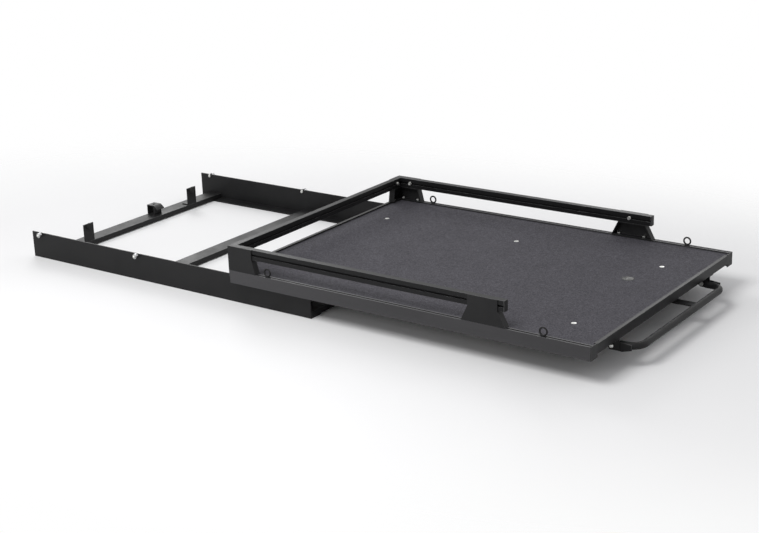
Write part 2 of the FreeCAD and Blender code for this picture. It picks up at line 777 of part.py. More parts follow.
for word, side in SIDES.items():
    rear_bolts = [tail + s.rear_bolt_first + s.rear_bolt_pitch * count for count in (0, 1)]
    foot_start = tail + s.rear_foot_start
    top_start = tail + s.rear_top_start
    x_low = across(side, 0.0) if side < 0 else across(side, pan_depth)
    plate_low = across(side, 0.0) if side < 0 else across(side, s.plate_thick)
    body = new_body(f"rear_bracket_{word}")
    pan(body, "YZ", (foot_start, foot_start + s.rear_foot), (top_start, top_start + s.rear_top),
        x_low, pan_depth, side)
    prism(body, "YZ", [block(top_start, pan_top, top_start + s.rear_top, rail_top)],
          plate_low, s.plate_thick)
    cut(body, "XY", [circle(x, y, s.bolt_hole) for x, y in slot_bolts(rear_bolts, side)],
        s.deck_top - 1.0, s.plate_thick + 2.0)
    bite_low = plate_low if side > 0 else plate_low + s.plate_thick - s.rail_bolt_bite
    cut(body, "YZ", [circle(rail_bolt_rows[0], rail_mid, s.bolt_hole)], bite_low, s.rail_bolt_bite)

    # Corner bracket: one leg on the side extrusion, one on the front end rail
    body = new_body(f"corner_bracket_{word}")
    wall = s.pan_wall
    floor = s.deck_top + s.plate_thick
    prism(body, "YZ", [[(nose - s.corner_foot, s.deck_top), (nose, s.deck_top), (nose, pan_top),
                        (nose - s.corner_top, pan_top)]], x_low, pan_depth)
    leg = [(across(side, 0.0), s.deck_top), (across(side, s.front_foot), s.deck_top),
           (across(side, s.front_top), pan_top), (across(side, 0.0), pan_top)]
    prism(body, "XZ", [leg], nose - pan_depth, pan_depth)
    cut(body, "YZ", [[(nose - s.corner_foot + wall * 1.5, floor), (nose - s.plate_thick, floor),
                      (nose - s.plate_thick, pan_top - wall),
                      (nose - s.corner_top + wall, pan_top - wall)]],
        x_low if side > 0 else x_low + s.plate_thick, pan_depth - s.plate_thick)
    cut(body, "XZ", [[(across(side, s.plate_thick), floor),
                      (across(side, s.front_foot - wall * 1.5), floor),
                      (across(side, s.front_top - wall), pan_top - wall),
                      (across(side, s.plate_thick), pan_top - wall)]],
        nose - pan_depth, s.guard_thick)
    prism(body, "YZ", [block(nose - s.corner_top, pan_top, nose, rail_top)], plate_low, s.plate_thick)
    prism(body, "XZ", [block(across(side, 0.0), pan_top, across(side, s.front_top), rail_top)],
          nose - s.plate_thick, s.plate_thick)
    corner_bolts = [nose - s.corner_foot + s.corner_bolt_first + s.corner_bolt_pitch * count
                    for count in (0, 1)]
    spots = slot_bolts(corner_bolts, side) + [(across(side, s.front_bolt_at), front_lip_y)]
    cut(body, "XY", [circle(x, y, s.bolt_hole) for x, y in spots],
        s.deck_top - 1.0, s.plate_thick + 2.0)
    cut(body, "YZ", [circle(rail_bolt_rows[1], rail_mid, s.bolt_hole)], bite_low, s.rail_bolt_bite)
    cut(body, "XZ", [circle(across(side, s.front_rail_bolt), rail_mid, s.bolt_hole)],
        nose - s.plate_thick, s.rail_bolt_bite)

# Bolts and T-nuts of the brackets

slot_rows = rear_bolts + corner_bolts
foot_seat = s.deck_top + s.plate_thick
foot_bolt = hex_bolt("foot_bolt_master", s.bolt_radius, s.bolt_flats, s.bolt_head,
                     s.plate_thick + s.slot_lip + s.nut_thick)
foot_places = [(across(side, slot_at), y, foot_seat, POINT_UP)
               for side in SIDES.values() for y in slot_rows]
group("bracket_foot_bolts", foot_bolt, foot_places)
lip_bolt = hex_bolt("lip_bolt_master", s.bolt_radius, s.bolt_flats, s.bolt_head,
                    foot_seat - roof + s.lip_nut_thick)
group("front_bracket_bolts", lip_bolt,
      [(x, front_lip_y, foot_seat, QUARTER_TURN) for x in front_bolts])

rail_bolt = hex_bolt("rail_bolt_master", s.bolt_radius, s.bolt_flats, s.bolt_head,
                     s.guard_thick + s.washer_thick + s.rail_bolt_bite)
washer = prism(new_body("washer_master", keep=False), "XY",
               [circle(0.0, 0.0, s.washer_radius), circle(0.0, 0.0, s.bolt_radius)],
               0.0, s.washer_thick)
rail_seats = [(across(side, pan_depth), y, rail_mid, INWARD[side])
              for side in SIDES.values() for y in rail_bolt_rows]
rail_seats += [(x, nose - pan_depth, rail_mid, TO_TAIL) for x in front_rail_bolts]


def lifted(place, rise):
    """The same place, moved along its own Z."""
    x, y, z, rotation = place
    move = rotation.multVec(Vector(0, 0, float(rise)))
    return (float(x) + move.x, float(y) + move.y, float(z) + move.z, rotation)


group("rail_bolt_washers", washer, rail_seats)
group("rail_bolts", rail_bolt, [lifted(place, s.washer_thick) for place in rail_seats])

nut_half = s.slot_room_width / 2 - s.board_gap
slot_nut = prism(new_body("slot_nut_master", keep=False), "XY",
                 [block(-nut_half, -s.nut_long / 2, nut_half, s.nut_long / 2),
                  circle(0.0, 0.0, s.bolt_radius)], -s.nut_thick, s.nut_thick)
eye_rows = [tail + s.eye_offset, nose - s.eye_offset]
nut_top = s.deck_top - s.slot_lip
group("slot_nuts", slot_nut, [(across(side, slot_at), y, nut_top, POINT_UP)
                              for side in SIDES.values() for y in slot_rows + eye_rows])
lip_nut = hex_nut("lip_nut_master", s.bolt_radius, s.bolt_flats, s.lip_nut_thick)
group("front_rail_nuts", lip_nut,
      [(x, front_lip_y, roof - s.lip_nut_thick, QUARTER_TURN) for x in front_bolts])

# Tie-down eyes


def tie_down_eye():
    """Bent ring on a collar, with a threaded shank below."""
    mean = s.eye_outer - s.eye_wire
    ring_up = s.eye_collar_thick + mean
    torus = Part.makeTorus(float(mean), float(s.eye_wire), Vector(0, 0, float(ring_up)),
                           Vector(1, 0, 0))
    collar = Part.makeCylinder(float(s.eye_collar), float(s.eye_collar_thick))
    shank_length = float(s.slot_lip + s.nut_thick)
    shank = Part.makeCylinder(float(s.bolt_radius), shank_length, Vector(0, 0, -shank_length))
    shape = torus.fuse([collar, shank]).removeSplitter()
    eye = doc.addObject("Part::Feature", "eye_master")
    eye.Shape = shape
    return eye


group("tie_down_eyes", tie_down_eye(),
      [(across(side, slot_at), y, s.deck_top, POINT_UP) for side in SIDES.values() for y in eye_rows])

# Base frame

web_top = axle_up + s.web_above_axle
base_end = s.base_length / 2
roller_rows = [s.roller_first_in - base_end, s.roller_second_in - base_end,
               base_end - s.roller_third_in, base_end - s.roller_fourth_in]
for word, side in SIDES.items():
    section = [(s.web_at, 0.0), (s.web_at + s.foot_width, 0.0),
               (s.web_at + s.foot_width, s.foot_thick), (s.web_at + s.web_thick, s.foot_thick),
               (s.web_at + s.web_thick, web_top), (s.web_at, web_top)]
    body = prism(new_body(f"base_rail_{word}"), "XZ",
                 [[(across(side, u), z) for u, z in section]], -s.base_length / 2, s.base_length)
    cut(body, "XY", [circle(across(side, s.bed_hole_at), s.bed_hole_y * end, s.bed_hole_radius)
                     for end in (-1, 1)], -1.0, s.foot_thick + 2.0)
    web_low = across(side, s.web_at) if side < 0 else across(side, s.web_at + s.web_thick)
    cut(body, "YZ", [circle(y, axle_up, s.bolt_hole) for y in roller_rows],
        web_low - 1.0, s.web_thick + 2.0)

member_rows = [s.member_width / 2 - base_end, out_plate - s.stop_foot / 2, s.member_middle,
               (in_plate + keeper_y + s.keeper_half) / 2]
members = []
for number, y in enumerate(member_rows, start=1):
    edge = s.member_width / 2
    wall = s.member_wall
    floor = s.foot_thick
    outline = [(y - edge, floor), (y - edge + wall, floor), (y - edge + wall, s.member_top - wall),
               (y + edge - wall, s.member_top - wall), (y + edge - wall, floor), (y + edge, floor),
               (y + edge, s.member_top), (y - edge, s.member_top)]
    reach = half - s.web_at - s.web_thick
    members.append(prism(new_body(f"base_cross_member_{number}", keep=False), "YZ",
                         [outline], -reach, reach * 2))
together("base_cross_members", members)

# Track rollers: outer race turns on an inner race with its spacer neck

race_edge = s.race_radius + s.race_clearance
roller = turned(new_body("roller_master", keep=False), [
    (race_edge, 0.0), (s.roller_radius - s.roller_edge, 0.0), (s.roller_radius, s.roller_edge),
    (s.roller_radius, s.roller_width - s.roller_edge),
    (s.roller_radius - s.roller_edge, s.roller_width), (race_edge, s.roller_width)])
race = turned(new_body("race_master", keep=False), [
    (s.axle_radius, 0.0), (s.race_radius, 0.0), (s.race_radius, s.race_width),
    (s.neck_radius, s.race_width), (s.neck_radius, s.web_at - s.race_start),
    (s.axle_radius, s.web_at - s.race_start)])
axle_length = s.web_at + s.web_thick + s.axle_nut_thick - s.race_start
axle = turned(new_body("axle_master", keep=False), [
    (0.0, -s.axle_head_thick), (s.axle_head * 0.7, -s.axle_head_thick), (s.axle_head, -1.0),
    (s.axle_head, 0.0), (s.axle_radius, 0.0), (s.axle_radius, axle_length), (0.0, axle_length)])
axle_nut = hex_nut("axle_nut_master", s.axle_radius, s.bolt_flats, s.axle_nut_thick)


def axle_places(inward):
    """One place per roller, this far inward from the deck's outer face."""
    return [(across(side, inward), y, axle_up, INWARD[side])
            for side in SIDES.values() for y in roller_rows]


roller_names = [f"roller_{word}_{number}" for word in SIDES for number in (1, 2, 3, 4)]
for name, place in zip(roller_names, axle_places(s.roller_start)):
    group(name, roller, [place])
group("roller_inner_races", race, axle_places(s.race_start))
group("roller_axle_bolts", axle, axle_places(s.race_start))

# End stops: rubber bumpers on base brackets, tabs under the deck

tab_mid = hat_half + s.stop_tab_back
tab_low_flange = roof - s.roof_thick
tab = prism(new_body("tab_master", keep=False), "YZ",
            [[(0.0, s.stop_tab_low), (s.stop_tab, s.stop_tab_low), (s.stop_tab, tab_low_flange),
              (tab_mid + hat_half, tab_low_flange), (tab_mid + hat_half, roof), (0.0, roof)]],
            -s.stop_width / 2, s.stop_width)
cut(tab, "XY", [circle(s.stop_width * share, tab_mid + shift, s.rivet_hole)
                for share in (0.25, -0.25) for shift in (hat_rivet, -hat_rivet)],
    tab_low_flange - 1.0, s.roof_thick + 2.0)
group("stop_tabs", tab, [(s.stop_across * side, tab_back, 0.0, None) for side in SIDES.values()])

bracket = prism(new_body("stop_bracket_master", keep=False), "YZ",
                [[(0.0, s.member_top), (s.stop_foot, s.member_top),
                  (s.stop_foot, s.member_top + s.stop_plate), (s.stop_plate, s.member_top + s.stop_plate),
                  (s.stop_plate, s.stop_height), (0.0, s.stop_height)]],
                -s.stop_width / 2, s.stop_width)
cut(bracket, "XZ", [circle(0.0, s.bumper_up, s.bolt_radius)], -1.0, s.stop_plate + 2.0)
stop_places = [(s.stop_across * side, y, 0.0, turn) for side in SIDES.values()
               for y, turn in ((out_plate, FACING_TAIL), (in_plate, None))]
group("stop_brackets", bracket, stop_places)

bumper = turned(new_body("bumper_master", keep=False), [
    (0.0, -s.stop_plate - s.axle_nut_thick), (s.bolt_radius, -s.stop_plate - s.axle_nut_thick),
    (s.bolt_radius, 0.0), (s.bumper_radius, 0.0), (s.bumper_radius, s.bumper_thick * 0.7),
    (s.bumper_radius - s.bumper_thick * 0.3, s.bumper_thick), (0.0, s.bumper_thick)])
group("stop_bumpers", bumper,
      [(s.stop_across * side, y, s.bumper_up, turn) for side in SIDES.values()
       for y, turn in ((out_plate, TO_FRONT), (in_plate, TO_TAIL))])
nut_places = axle_places(s.web_at + s.web_thick)
nut_places += [(s.stop_across * side, y, s.bumper_up, turn) for side in SIDES.values()
               for y, turn in ((out_plate - s.stop_plate, TO_TAIL),
                               (in_plate + s.stop_plate, TO_FRONT))]
group("base_nuts", axle_nut, nut_places)

# Pull handle: bent tube, two arms, two hangers, pivot bolts


def pipe(points, bend, radius):
    """Round bar along straight runs joined by tangent bends of one radius."""
    edges = []
    start = points[0]
    for before, corner, after in zip(points, points[1:], points[2:]):
        back = (before - corner).normalize()
        ahead = (after - corner).normalize()
        turn = math.pi - back.getAngle(ahead)
        step = bend * math.tan(turn / 2)
        enter = corner + back * step
        leave = corner + ahead * step
        middle = corner + (back + ahead).normalize() * (bend / math.cos(turn / 2) - bend)
        edges.append(Part.LineSegment(start, enter).toShape())
        edges.append(Part.Arc(enter, middle, leave).toShape())
        start = leave
    edges.append(Part.LineSegment(start, points[-1]).toShape())
    path = Part.Wire(edges)
    ring_wire = Part.Wire([Part.Circle(points[0], points[1] - points[0], radius).toShape()])
    return path.makePipeShell([ring_wire], True, True)


bar_y = tail - s.tube_reach
root_y = tail + s.tube_root
corners = [Vector(float(-s.tube_half), float(root_y), float(s.tube_up)),
           Vector(float(-s.tube_half), float(bar_y), float(s.tube_up)),
           Vector(float(s.tube_half), float(bar_y), float(s.tube_up)),
           Vector(float(s.tube_half), float(root_y), float(s.tube_up))]
handle = doc.addObject("Part::Feature", "handle_tube")
handle.Label = "handle_tube"
handle.Shape = pipe(corners, float(s.tube_bend), float(s.tube_radius)).cut(
    pipe(corners, float(s.tube_bend), float(s.tube_radius - s.tube_wall)))
nodes["handle_tube"] = handle

arm_start = s.tube_half + s.tube_radius
arms = []
hangers = []
rail_under = low + s.rear_rail_low
for word, side in SIDES.items():
    x_low = arm_start if side > 0 else -(arm_start + s.arm_thick)
    eye = s.arm_eye
    outline = [(pivot_y + eye, s.pivot_up - eye * 0.5), (pivot_y + eye, s.pivot_up + eye * 0.6),
               (pivot_y + eye * 0.4, s.pivot_up + eye),
               (tail - s.tube_root, s.tube_up + s.tube_radius * 1.05),
               (bar_y + s.tube_bend * 0.4, s.tube_up + s.tube_radius * 0.8),
               (bar_y + s.tube_bend * 0.4, s.tube_up - s.tube_radius * 0.8),
               (tail - s.tube_root, s.tube_up - s.tube_radius * 1.5),
               (pivot_y - eye * 0.4, s.pivot_up - eye), (pivot_y + eye * 0.4, s.pivot_up - eye)]
    body = prism(new_body(f"handle_arm_{word}", keep=False), "YZ", [outline], x_low, s.arm_thick)
    arms.append(body)
    cut(body, "YZ", [circle(pivot_y, s.pivot_up, s.pivot_radius + s.pivot_clearance)],
        x_low - 1.0, s.arm_thick + 2.0)
    inner = hanger_x * side
    flange_end = inner + s.hanger_flange * side
    flange = [(inner, rail_under - s.hanger_thick), (flange_end, rail_under - s.hanger_thick),
              (flange_end, rail_under), (inner, rail_under)]
    body = prism(new_body(f"handle_hanger_{word}", keep=False), "XZ", [flange],
                 tail + s.hanger_gap * 4, s.hanger_depth)
    hangers.append(body)
    plate_low = hanger_x if side > 0 else -(hanger_x + s.hanger_thick)
    edge = tail + s.hanger_gap * 4
    plate = [(edge, s.hanger_low), (edge + s.hanger_depth * 0.7, s.hanger_low),
             (edge + s.hanger_depth, rail_under - s.hanger_depth * 0.4),
             (edge + s.hanger_depth, rail_under), (edge, rail_under)]
    prism(body, "YZ", [plate], plate_low, s.hanger_thick)
    cut(body, "YZ", [circle(pivot_y, s.pivot_up, s.pivot_radius)], plate_low - 1.0, s.hanger_thick + 2.0)
    spots = [circle(x, y, s.rivet_hole) for x, y in hanger_rivets if float(x) * side > 0]
    cut(body, "XY", spots, rail_under - s.hanger_thick - 1.0, s.hanger_thick + 2.0)

together("handle_arms", arms)
together("handle_hangers", hangers)

pivot_length = s.hanger_thick + s.hanger_gap * 2 + s.arm_thick + s.axle_nut_thick
pivot_bolt = turned(new_body("pivot_bolt_master", keep=False), [
    (0.0, -s.pivot_head_thick), (s.pivot_head * 0.7, -s.pivot_head_thick),
    (s.pivot_head, -s.pivot_head_thick * 0.4), (s.pivot_head, 0.0), (s.pivot_radius, 0.0),
    (s.pivot_radius, pivot_length), (0.0, pivot_length)])
outer_face = hanger_x + s.hanger_thick
group("handle_pivot_bolts", pivot_bolt,
      [(outer_face * side, pivot_y, s.pivot_up, INWARD[side]) for side in SIDES.values()])
pivot_nut = hex_nut("pivot_nut_master", s.pivot_radius, s.pivot_nut_flats, s.axle_nut_thick)
nut_x = arm_start - s.hanger_gap
group("handle_pivot_nuts", pivot_nut,
      [(nut_x * side, pivot_y, s.pivot_up, INWARD[side]) for side in SIDES.values()])

# Latch lever: strap from the bar, turned up into a forked eye

lever_low = s.latch_across - s.lever_width / 2
strap_low = s.tube_up - s.lever_thick / 2
strap_high = s.tube_up + s.lever_thick / 2
lever_eye = s.lever_pin * 2.2
lever = prism(new_body("latch_lever"), "YZ",
              [[(bar_y + s.tube_radius + s.weld_gap, strap_low),
                (pivot_y + s.lever_thick, strap_low),
                (pivot_y + lever_eye, strap_high + s.lever_thick),
                (pivot_y + lever_eye, rod_up + lever_eye),
                (pivot_y - lever_eye * 0.2, rod_up + lever_eye),
                (pivot_y - s.lever_thick * 0.6, rod_up),
                (pivot_y - s.lever_thick * 0.6, strap_high),
                (bar_y + s.tube_radius + s.weld_gap, strap_high)]],
              lever_low, s.lever_width)
cut(lever, "XY", [block(s.latch_across - s.lever_notch / 2, pivot_y - lever_eye * 1.5,
                        s.latch_across + s.lever_notch / 2, pivot_y + lever_eye + 1.0)],
    strap_high + s.lever_thick, s.lever_arm + lever_eye)
cut(lever, "YZ", [circle(pivot_y, rod_up, s.lever_pin)], lever_low - 1.0, s.lever_width + 2.0)
prism(new_body("lever_pin"), "YZ", [circle(pivot_y, rod_up, s.lever_pin)], lever_low, s.lever_width)

# Pull rod with its slotted eye, spring collar and cam plate, one welded piece

rod_start = pivot_y + s.rod_eye_long * 0.7
cam_back = plunger_y - s.cam_long / 2
eye_back = rod_start - s.rod_eye_long
rod = prism(new_body("pull_rod"), "XZ", [circle(s.latch_across, rod_up, s.rod_radius)],
            rod_start - s.rod_radius, cam_back - rod_start + s.rod_radius * 2)
eye_half = s.rod_eye_tall / 2
prism(rod, "YZ", [[(eye_back, rod_up - eye_half), (rod_start - s.rod_radius, rod_up - eye_half),
                   (rod_start + s.rod_radius, rod_up - s.rod_radius),
                   (rod_start + s.rod_radius, rod_up + s.rod_radius),
                   (rod_start - s.rod_radius, rod_up + eye_half), (eye_back, rod_up + eye_half)]],
      s.latch_across - s.rod_eye_thick / 2, s.rod_eye_thick)
slot_half = s.lever_pin + s.pin_play
cut(rod, "YZ", [block(pivot_y - slot_half, rod_up - slot_half - s.slot_rise / 2,
                      pivot_y + slot_half, rod_up + slot_half)],
    s.latch_across - s.rod_eye_thick, s.rod_eye_thick * 2)
cam_front = cam_back + s.cam_long
prism(rod, "YZ", [[(cam_back, s.cam_low), (cam_front, s.cam_low), (cam_front, s.cam_high),
                   (cam_back + s.cam_back, s.cam_high),
                   (cam_back + s.rod_radius, rod_up + s.rod_radius), (cam_back, rod_up + s.rod_radius)]],
      s.latch_across - s.cam_thick / 2, s.cam_thick)
lift = s.lever_arm * math.radians(20.0)
slot_wide = (s.cross_pin + s.pin_play) * DIAGONAL
slot_end = slot_wide + s.pin_play
first_y = plunger_y
first_z = s.cross_pin_up
last_y = plunger_y - lift
last_z = s.cross_pin_up + lift
cut(rod, "YZ", [[(first_y + slot_end - slot_wide, first_z - slot_end - slot_wide),
                 (first_y + slot_end + slot_wide, first_z - slot_end + slot_wide),
                 (last_y - slot_end + slot_wide, last_z + slot_end + slot_wide),
                 (last_y - slot_end - slot_wide, last_z + slot_end - slot_wide)]],
    s.latch_across - s.cam_thick, s.cam_thick * 2)

guide = prism(new_body("guide_master", keep=False), "XZ",
              [block(-s.guide_width / 2, rod_up - s.guide_width / 2, s.guide_width / 2, roof),
               circle(0.0, rod_up, s.guide_hole)], -s.guide_thick / 2, s.guide_thick)
group("rod_guides", guide, [(s.latch_across, y - hat_rivet * side, 0.0, None)
                            for y, side in ((hat_rows[0], 0), (hat_rows[1], 1))])

# Latch housing, plunger, cross pin

housing_half = s.housing_inside / 2
wall = s.roof_thick
housing_start = hat_rows[2] - hat_half
housing_length = plunger_y + s.housing_front - housing_start
housing = prism(new_body("latch_housing"), "XZ",
                [[(s.latch_across + a, z) for a, z in (
                    (-housing_half - wall, s.housing_low), (housing_half + wall, s.housing_low),
                    (housing_half + wall, roof - wall),
                    (housing_half + wall + s.housing_flange, roof - wall),
                    (housing_half + wall + s.housing_flange, roof), (housing_half, roof),
                    (housing_half, s.housing_low + wall), (-housing_half, s.housing_low + wall),
                    (-housing_half, roof), (-housing_half - wall - s.housing_flange, roof),
                    (-housing_half - wall - s.housing_flange, roof - wall),
                    (-housing_half - wall, roof - wall))]], housing_start, housing_length)
cut(housing, "XY", [circle(s.latch_across, plunger_y, s.housing_hole)],
    s.housing_low - 1.0, wall + 2.0)
cut(housing, "XY", [circle(x, hat_rows[2] + shift, s.rivet_hole) for x, shift in latch_rivets],
    roof - wall - 1.0, wall + 2.0)

plunger = turned(new_body("latch_plunger"), [
    (0.0, s.plunger_low), (s.plunger_nose, s.plunger_low),
    (s.plunger_radius, s.plunger_low + s.plunger_nose), (s.plunger_radius, s.plunger_high),
    (s.stem_radius, s.plunger_high), (s.stem_radius, s.stem_high), (0.0, s.stem_high)])
cut(plunger, "XZ", [block(-s.fork_gap / 2, s.fork_low, s.fork_gap / 2, s.cam_high + s.pin_play)],
    -s.plunger_radius - 1.0, s.plunger_radius * 2 + 2.0)
cut(plunger, "YZ", [circle(0.0, s.cross_pin_up, s.cross_pin)],
    -s.plunger_radius - 1.0, s.plunger_radius * 2 + 2.0)
put(plunger, s.latch_across, plunger_y, 0.0)
prism(new_body("plunger_cross_pin"), "YZ", [circle(plunger_y, s.cross_pin_up, s.cross_pin)],
      s.latch_across - s.plunger_radius, s.plunger_radius * 2)


def latch_spring():
    """Open coil between the plunger's shoulder and the board."""
    spring = doc.addObject("Part::Feature", "latch_spring")
    spring.Label = "latch_spring"
    mean = float(s.spring_mean)
    wire = float(s.spring_wire)
    length = float(seat - s.plunger_high) - 2 * wire
    steps = round(float(s.spring_turns) * COIL_STEPS)
    turns = [2 * math.pi * k / COIL_STEPS for k in range(steps + 1)]
    coil = [Vector(mean * math.cos(turn), mean * math.sin(turn), length * k / steps)
            for k, turn in enumerate(turns)]
    wire_end = Part.makePolygon([coil[0] + Vector(wire * math.cos(turn), 0, wire * math.sin(turn))
                                 for turn in [math.pi * k / 3 for k in range(7)]])
    spring.Shape = Part.makePolygon(coil).makePipeShell([wire_end], True, False, 1)
    spring.Placement = Placement(Vector(float(s.latch_across), float(plunger_y),
                                        float(s.plunger_high) + wire), Rotation())
    return spring


nodes["latch_spring"] = latch_spring()

# Keeper on the front base cross-member

k = s.keeper_half
t = s.keeper_wall
keeper = prism(new_body("latch_keeper"), "YZ",
               [[(keeper_y + a, z) for a, z in (
                   (-k, s.member_top), (-k + t, s.member_top), (-k + t, s.keeper_top - t),
                   (k - t, s.keeper_top - t), (k - t, s.member_top), (k, s.member_top),
                   (k, s.keeper_top), (-k, s.keeper_top),
                   (-k - s.keeper_ramp, s.keeper_top - s.keeper_ramp * 0.8),
                   (-k - s.keeper_ramp, s.keeper_top - s.keeper_ramp * 0.8 - t),
                   (-k, s.keeper_top - t * 1.3))]],
               s.latch_across - s.keeper_width / 2, s.keeper_width)
cut(keeper, "XY", [circle(s.latch_across, keeper_y, s.keeper_hole)],
    s.keeper_top - t - 1.0, t + 2.0)

# Check every object, then write one file for each node

doc.recompute()
for item in doc.Objects:
    if "Invalid" in item.State or "Error" in item.State:
        raise RuntimeError(f"{item.Label} failed: {item.State}")
os.makedirs("parts", exist_ok=True)
for name, item in nodes.items():
    if item.Shape.isNull() or not item.Shape.isValid():
        raise RuntimeError(f"{name} has no valid shape")
for name, item in nodes.items():
    item.Shape.exportStep(f"parts/{name}.step")
print(f"{len(nodes)} nodes written")
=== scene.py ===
# %% [markdown]
# # A pull-out cargo deck on rollers
#
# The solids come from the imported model, in metres, with X across, Y towards the front and Z up. They
# have the right shapes, but knife edges and plain colours. This script dresses them with rounded edges,
# turned fasteners, coated metal and a gritty deck. Each finished piece stands where its solid stands and
# moves with the same body.

# %% Load the frame
import json
import math

import bmesh
import bpy
from mathutils import Euler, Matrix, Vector


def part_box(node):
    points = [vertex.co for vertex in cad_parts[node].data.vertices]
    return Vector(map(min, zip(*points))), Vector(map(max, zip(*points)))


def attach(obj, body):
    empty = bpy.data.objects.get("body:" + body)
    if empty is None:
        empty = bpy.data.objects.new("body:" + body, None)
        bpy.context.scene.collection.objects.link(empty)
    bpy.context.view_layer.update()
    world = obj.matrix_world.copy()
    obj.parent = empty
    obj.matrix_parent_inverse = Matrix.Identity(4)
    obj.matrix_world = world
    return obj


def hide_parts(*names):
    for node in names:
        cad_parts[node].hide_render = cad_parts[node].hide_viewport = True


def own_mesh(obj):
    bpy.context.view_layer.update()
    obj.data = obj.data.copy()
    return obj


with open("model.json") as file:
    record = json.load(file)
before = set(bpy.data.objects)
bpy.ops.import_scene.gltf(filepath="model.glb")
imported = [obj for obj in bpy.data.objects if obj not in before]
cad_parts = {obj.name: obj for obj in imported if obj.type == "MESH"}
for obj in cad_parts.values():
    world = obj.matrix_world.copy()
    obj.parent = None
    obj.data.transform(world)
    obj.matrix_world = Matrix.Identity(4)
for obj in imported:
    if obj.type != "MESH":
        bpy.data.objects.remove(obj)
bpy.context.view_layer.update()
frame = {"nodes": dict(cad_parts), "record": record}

NODES = frame["nodes"]
BODY_OF = {node: body for body, nodes in frame["record"]["behaviour"]["bodies"].items() for node in nodes}
SLOT_OF = {part["node"]: part["material_slot"] for part in frame["record"]["subparts"]}
print(f"{len(NODES)} nodes on {len(set(BODY_OF.values()))} bodies")

# %% [markdown]
# ## Materials
#
# Up close, every coat on metal is a little uneven in colour, gloss and height. Photographs of metal could
# be wrapped round each piece, but they need unwrapping and turn soft in a close view. So each finish is a
# small node tree in Object coordinates, where grain keeps its real size in metres on any shape.
#
# `noise` makes one layer of grain. `spread` turns a layer into a range of colour, `between` into a
# number, and `relief` into bumps.

# %% Grain
def node_tree(name):
    """A new material, its nodes and its links, with the shader ready."""
    material = bpy.data.materials.new(name)
    material.use_nodes = True
    nodes = material.node_tree.nodes
    links = material.node_tree.links
    shader = nodes["Principled BSDF"]
    place = nodes.new("ShaderNodeTexCoord")
    return material, nodes, links, shader, place.outputs["Object"]


def noise(nodes, links, place, scale, detail=3.0, stretch=(1, 1, 1)):
    """Grain with a feature size of about one over the scale, in metres."""
    mapping = nodes.new("ShaderNodeMapping")
    mapping.inputs["Scale"].default_value = stretch
    links.new(place, mapping.inputs["Vector"])
    texture = nodes.new("ShaderNodeTexNoise")
    texture.inputs["Scale"].default_value = scale
    texture.inputs["Detail"].default_value = detail
    texture.inputs["Roughness"].default_value = 0.55
    links.new(mapping.outputs["Vector"], texture.inputs["Vector"])
    return texture.outputs["Fac"]


def spread(nodes, links, factor, stops):
    """A colour for each level of a factor, from (level, colour) stops."""
    ramp = nodes.new("ShaderNodeValToRGB")
    ramp.color_ramp.elements[0].position = stops[0][0]
    ramp.color_ramp.elements[0].color = (*stops[0][1], 1)
    ramp.color_ramp.elements[1].position = stops[-1][0]
    ramp.color_ramp.elements[1].color = (*stops[-1][1], 1)
    for position, colour in stops[1:-1]:
        element = ramp.color_ramp.elements.new(position)
        element.color = (*colour, 1)
    links.new(factor, ramp.inputs["Fac"])
    return ramp.outputs["Color"]


# %% Numbers, mixes and bumps from grain
NOISE_LOW, NOISE_HIGH = 0.3, 0.7


def between(nodes, links, factor, low, high):
    """A number that follows a layer of noise from low to high."""
    span = nodes.new("ShaderNodeMapRange")
    span.inputs["From Min"].default_value = NOISE_LOW
    span.inputs["From Max"].default_value = NOISE_HIGH
    span.inputs["To Min"].default_value = low
    span.inputs["To Max"].default_value = high
    links.new(factor, span.inputs["Value"])
    return span.outputs["Result"]


def multiplied(nodes, links, first, second):
    """One colour darkened by another."""
    mix = nodes.new("ShaderNodeMix")
    mix.data_type = "RGBA"
    mix.blend_type = "MULTIPLY"
    mix.inputs["Factor"].default_value = 1.0
    links.new(first, mix.inputs[6])
    links.new(second, mix.inputs[7])
    return mix.outputs[2]


def relief(nodes, links, shader, layers):
    """Bumps from layers of (height, strength, depth in metres)."""
    normal = None
    for height, strength, depth in layers:
        bump = nodes.new("ShaderNodeBump")
        bump.inputs["Strength"].default_value = strength
        bump.inputs["Distance"].default_value = depth
        links.new(height, bump.inputs["Height"])
        if normal is not None:
            links.new(normal, bump.inputs["Normal"])
        normal = bump.outputs["Normal"]
    links.new(normal, shader.inputs["Normal"])


# %% [markdown]
# ### Coated and plated metal, moulded plastic and rubber
#
# Powder coat, zinc plate, moulded plastic and rubber differ in colour, gloss and grain, but they are built
# up alike: a cloudy tone over centimetres, with specks of a millimetre on it. One function with named
# values makes them all, which keeps them in one family. An extrusion's grain is drawn out along its
# length, as a die leaves it.

# %% One coat for every metal, plastic and rubber
CLOUD_SCALE = 9.0


def coat(name, dark, light, rough, grain, depth, metallic=0.0, shine=0.5, stretch=(1, 1, 1)):
    """A sprayed, moulded or plated finish: mottled colour, uneven gloss and fine relief."""
    material, nodes, links, shader, place = node_tree(name)
    broad = noise(nodes, links, place, CLOUD_SCALE, 4.0, stretch)
    fine = noise(nodes, links, place, grain, 2.0, stretch)
    cloudy = spread(nodes, links, broad, [(NOISE_LOW, dark), (NOISE_HIGH, light)])
    specks = spread(nodes, links, fine, [(0.25, (0.8, 0.8, 0.8)), (0.75, (1.0, 1.0, 1.0))])
    links.new(multiplied(nodes, links, cloudy, specks), shader.inputs["Base Color"])
    links.new(between(nodes, links, broad, *rough), shader.inputs["Roughness"])
    shader.inputs["Metallic"].default_value = metallic
    shader.inputs["Specular IOR Level"].default_value = shine
    relief(nodes, links, shader, [(broad, 0.12, depth * 2), (fine, 0.5, depth)])
    return material


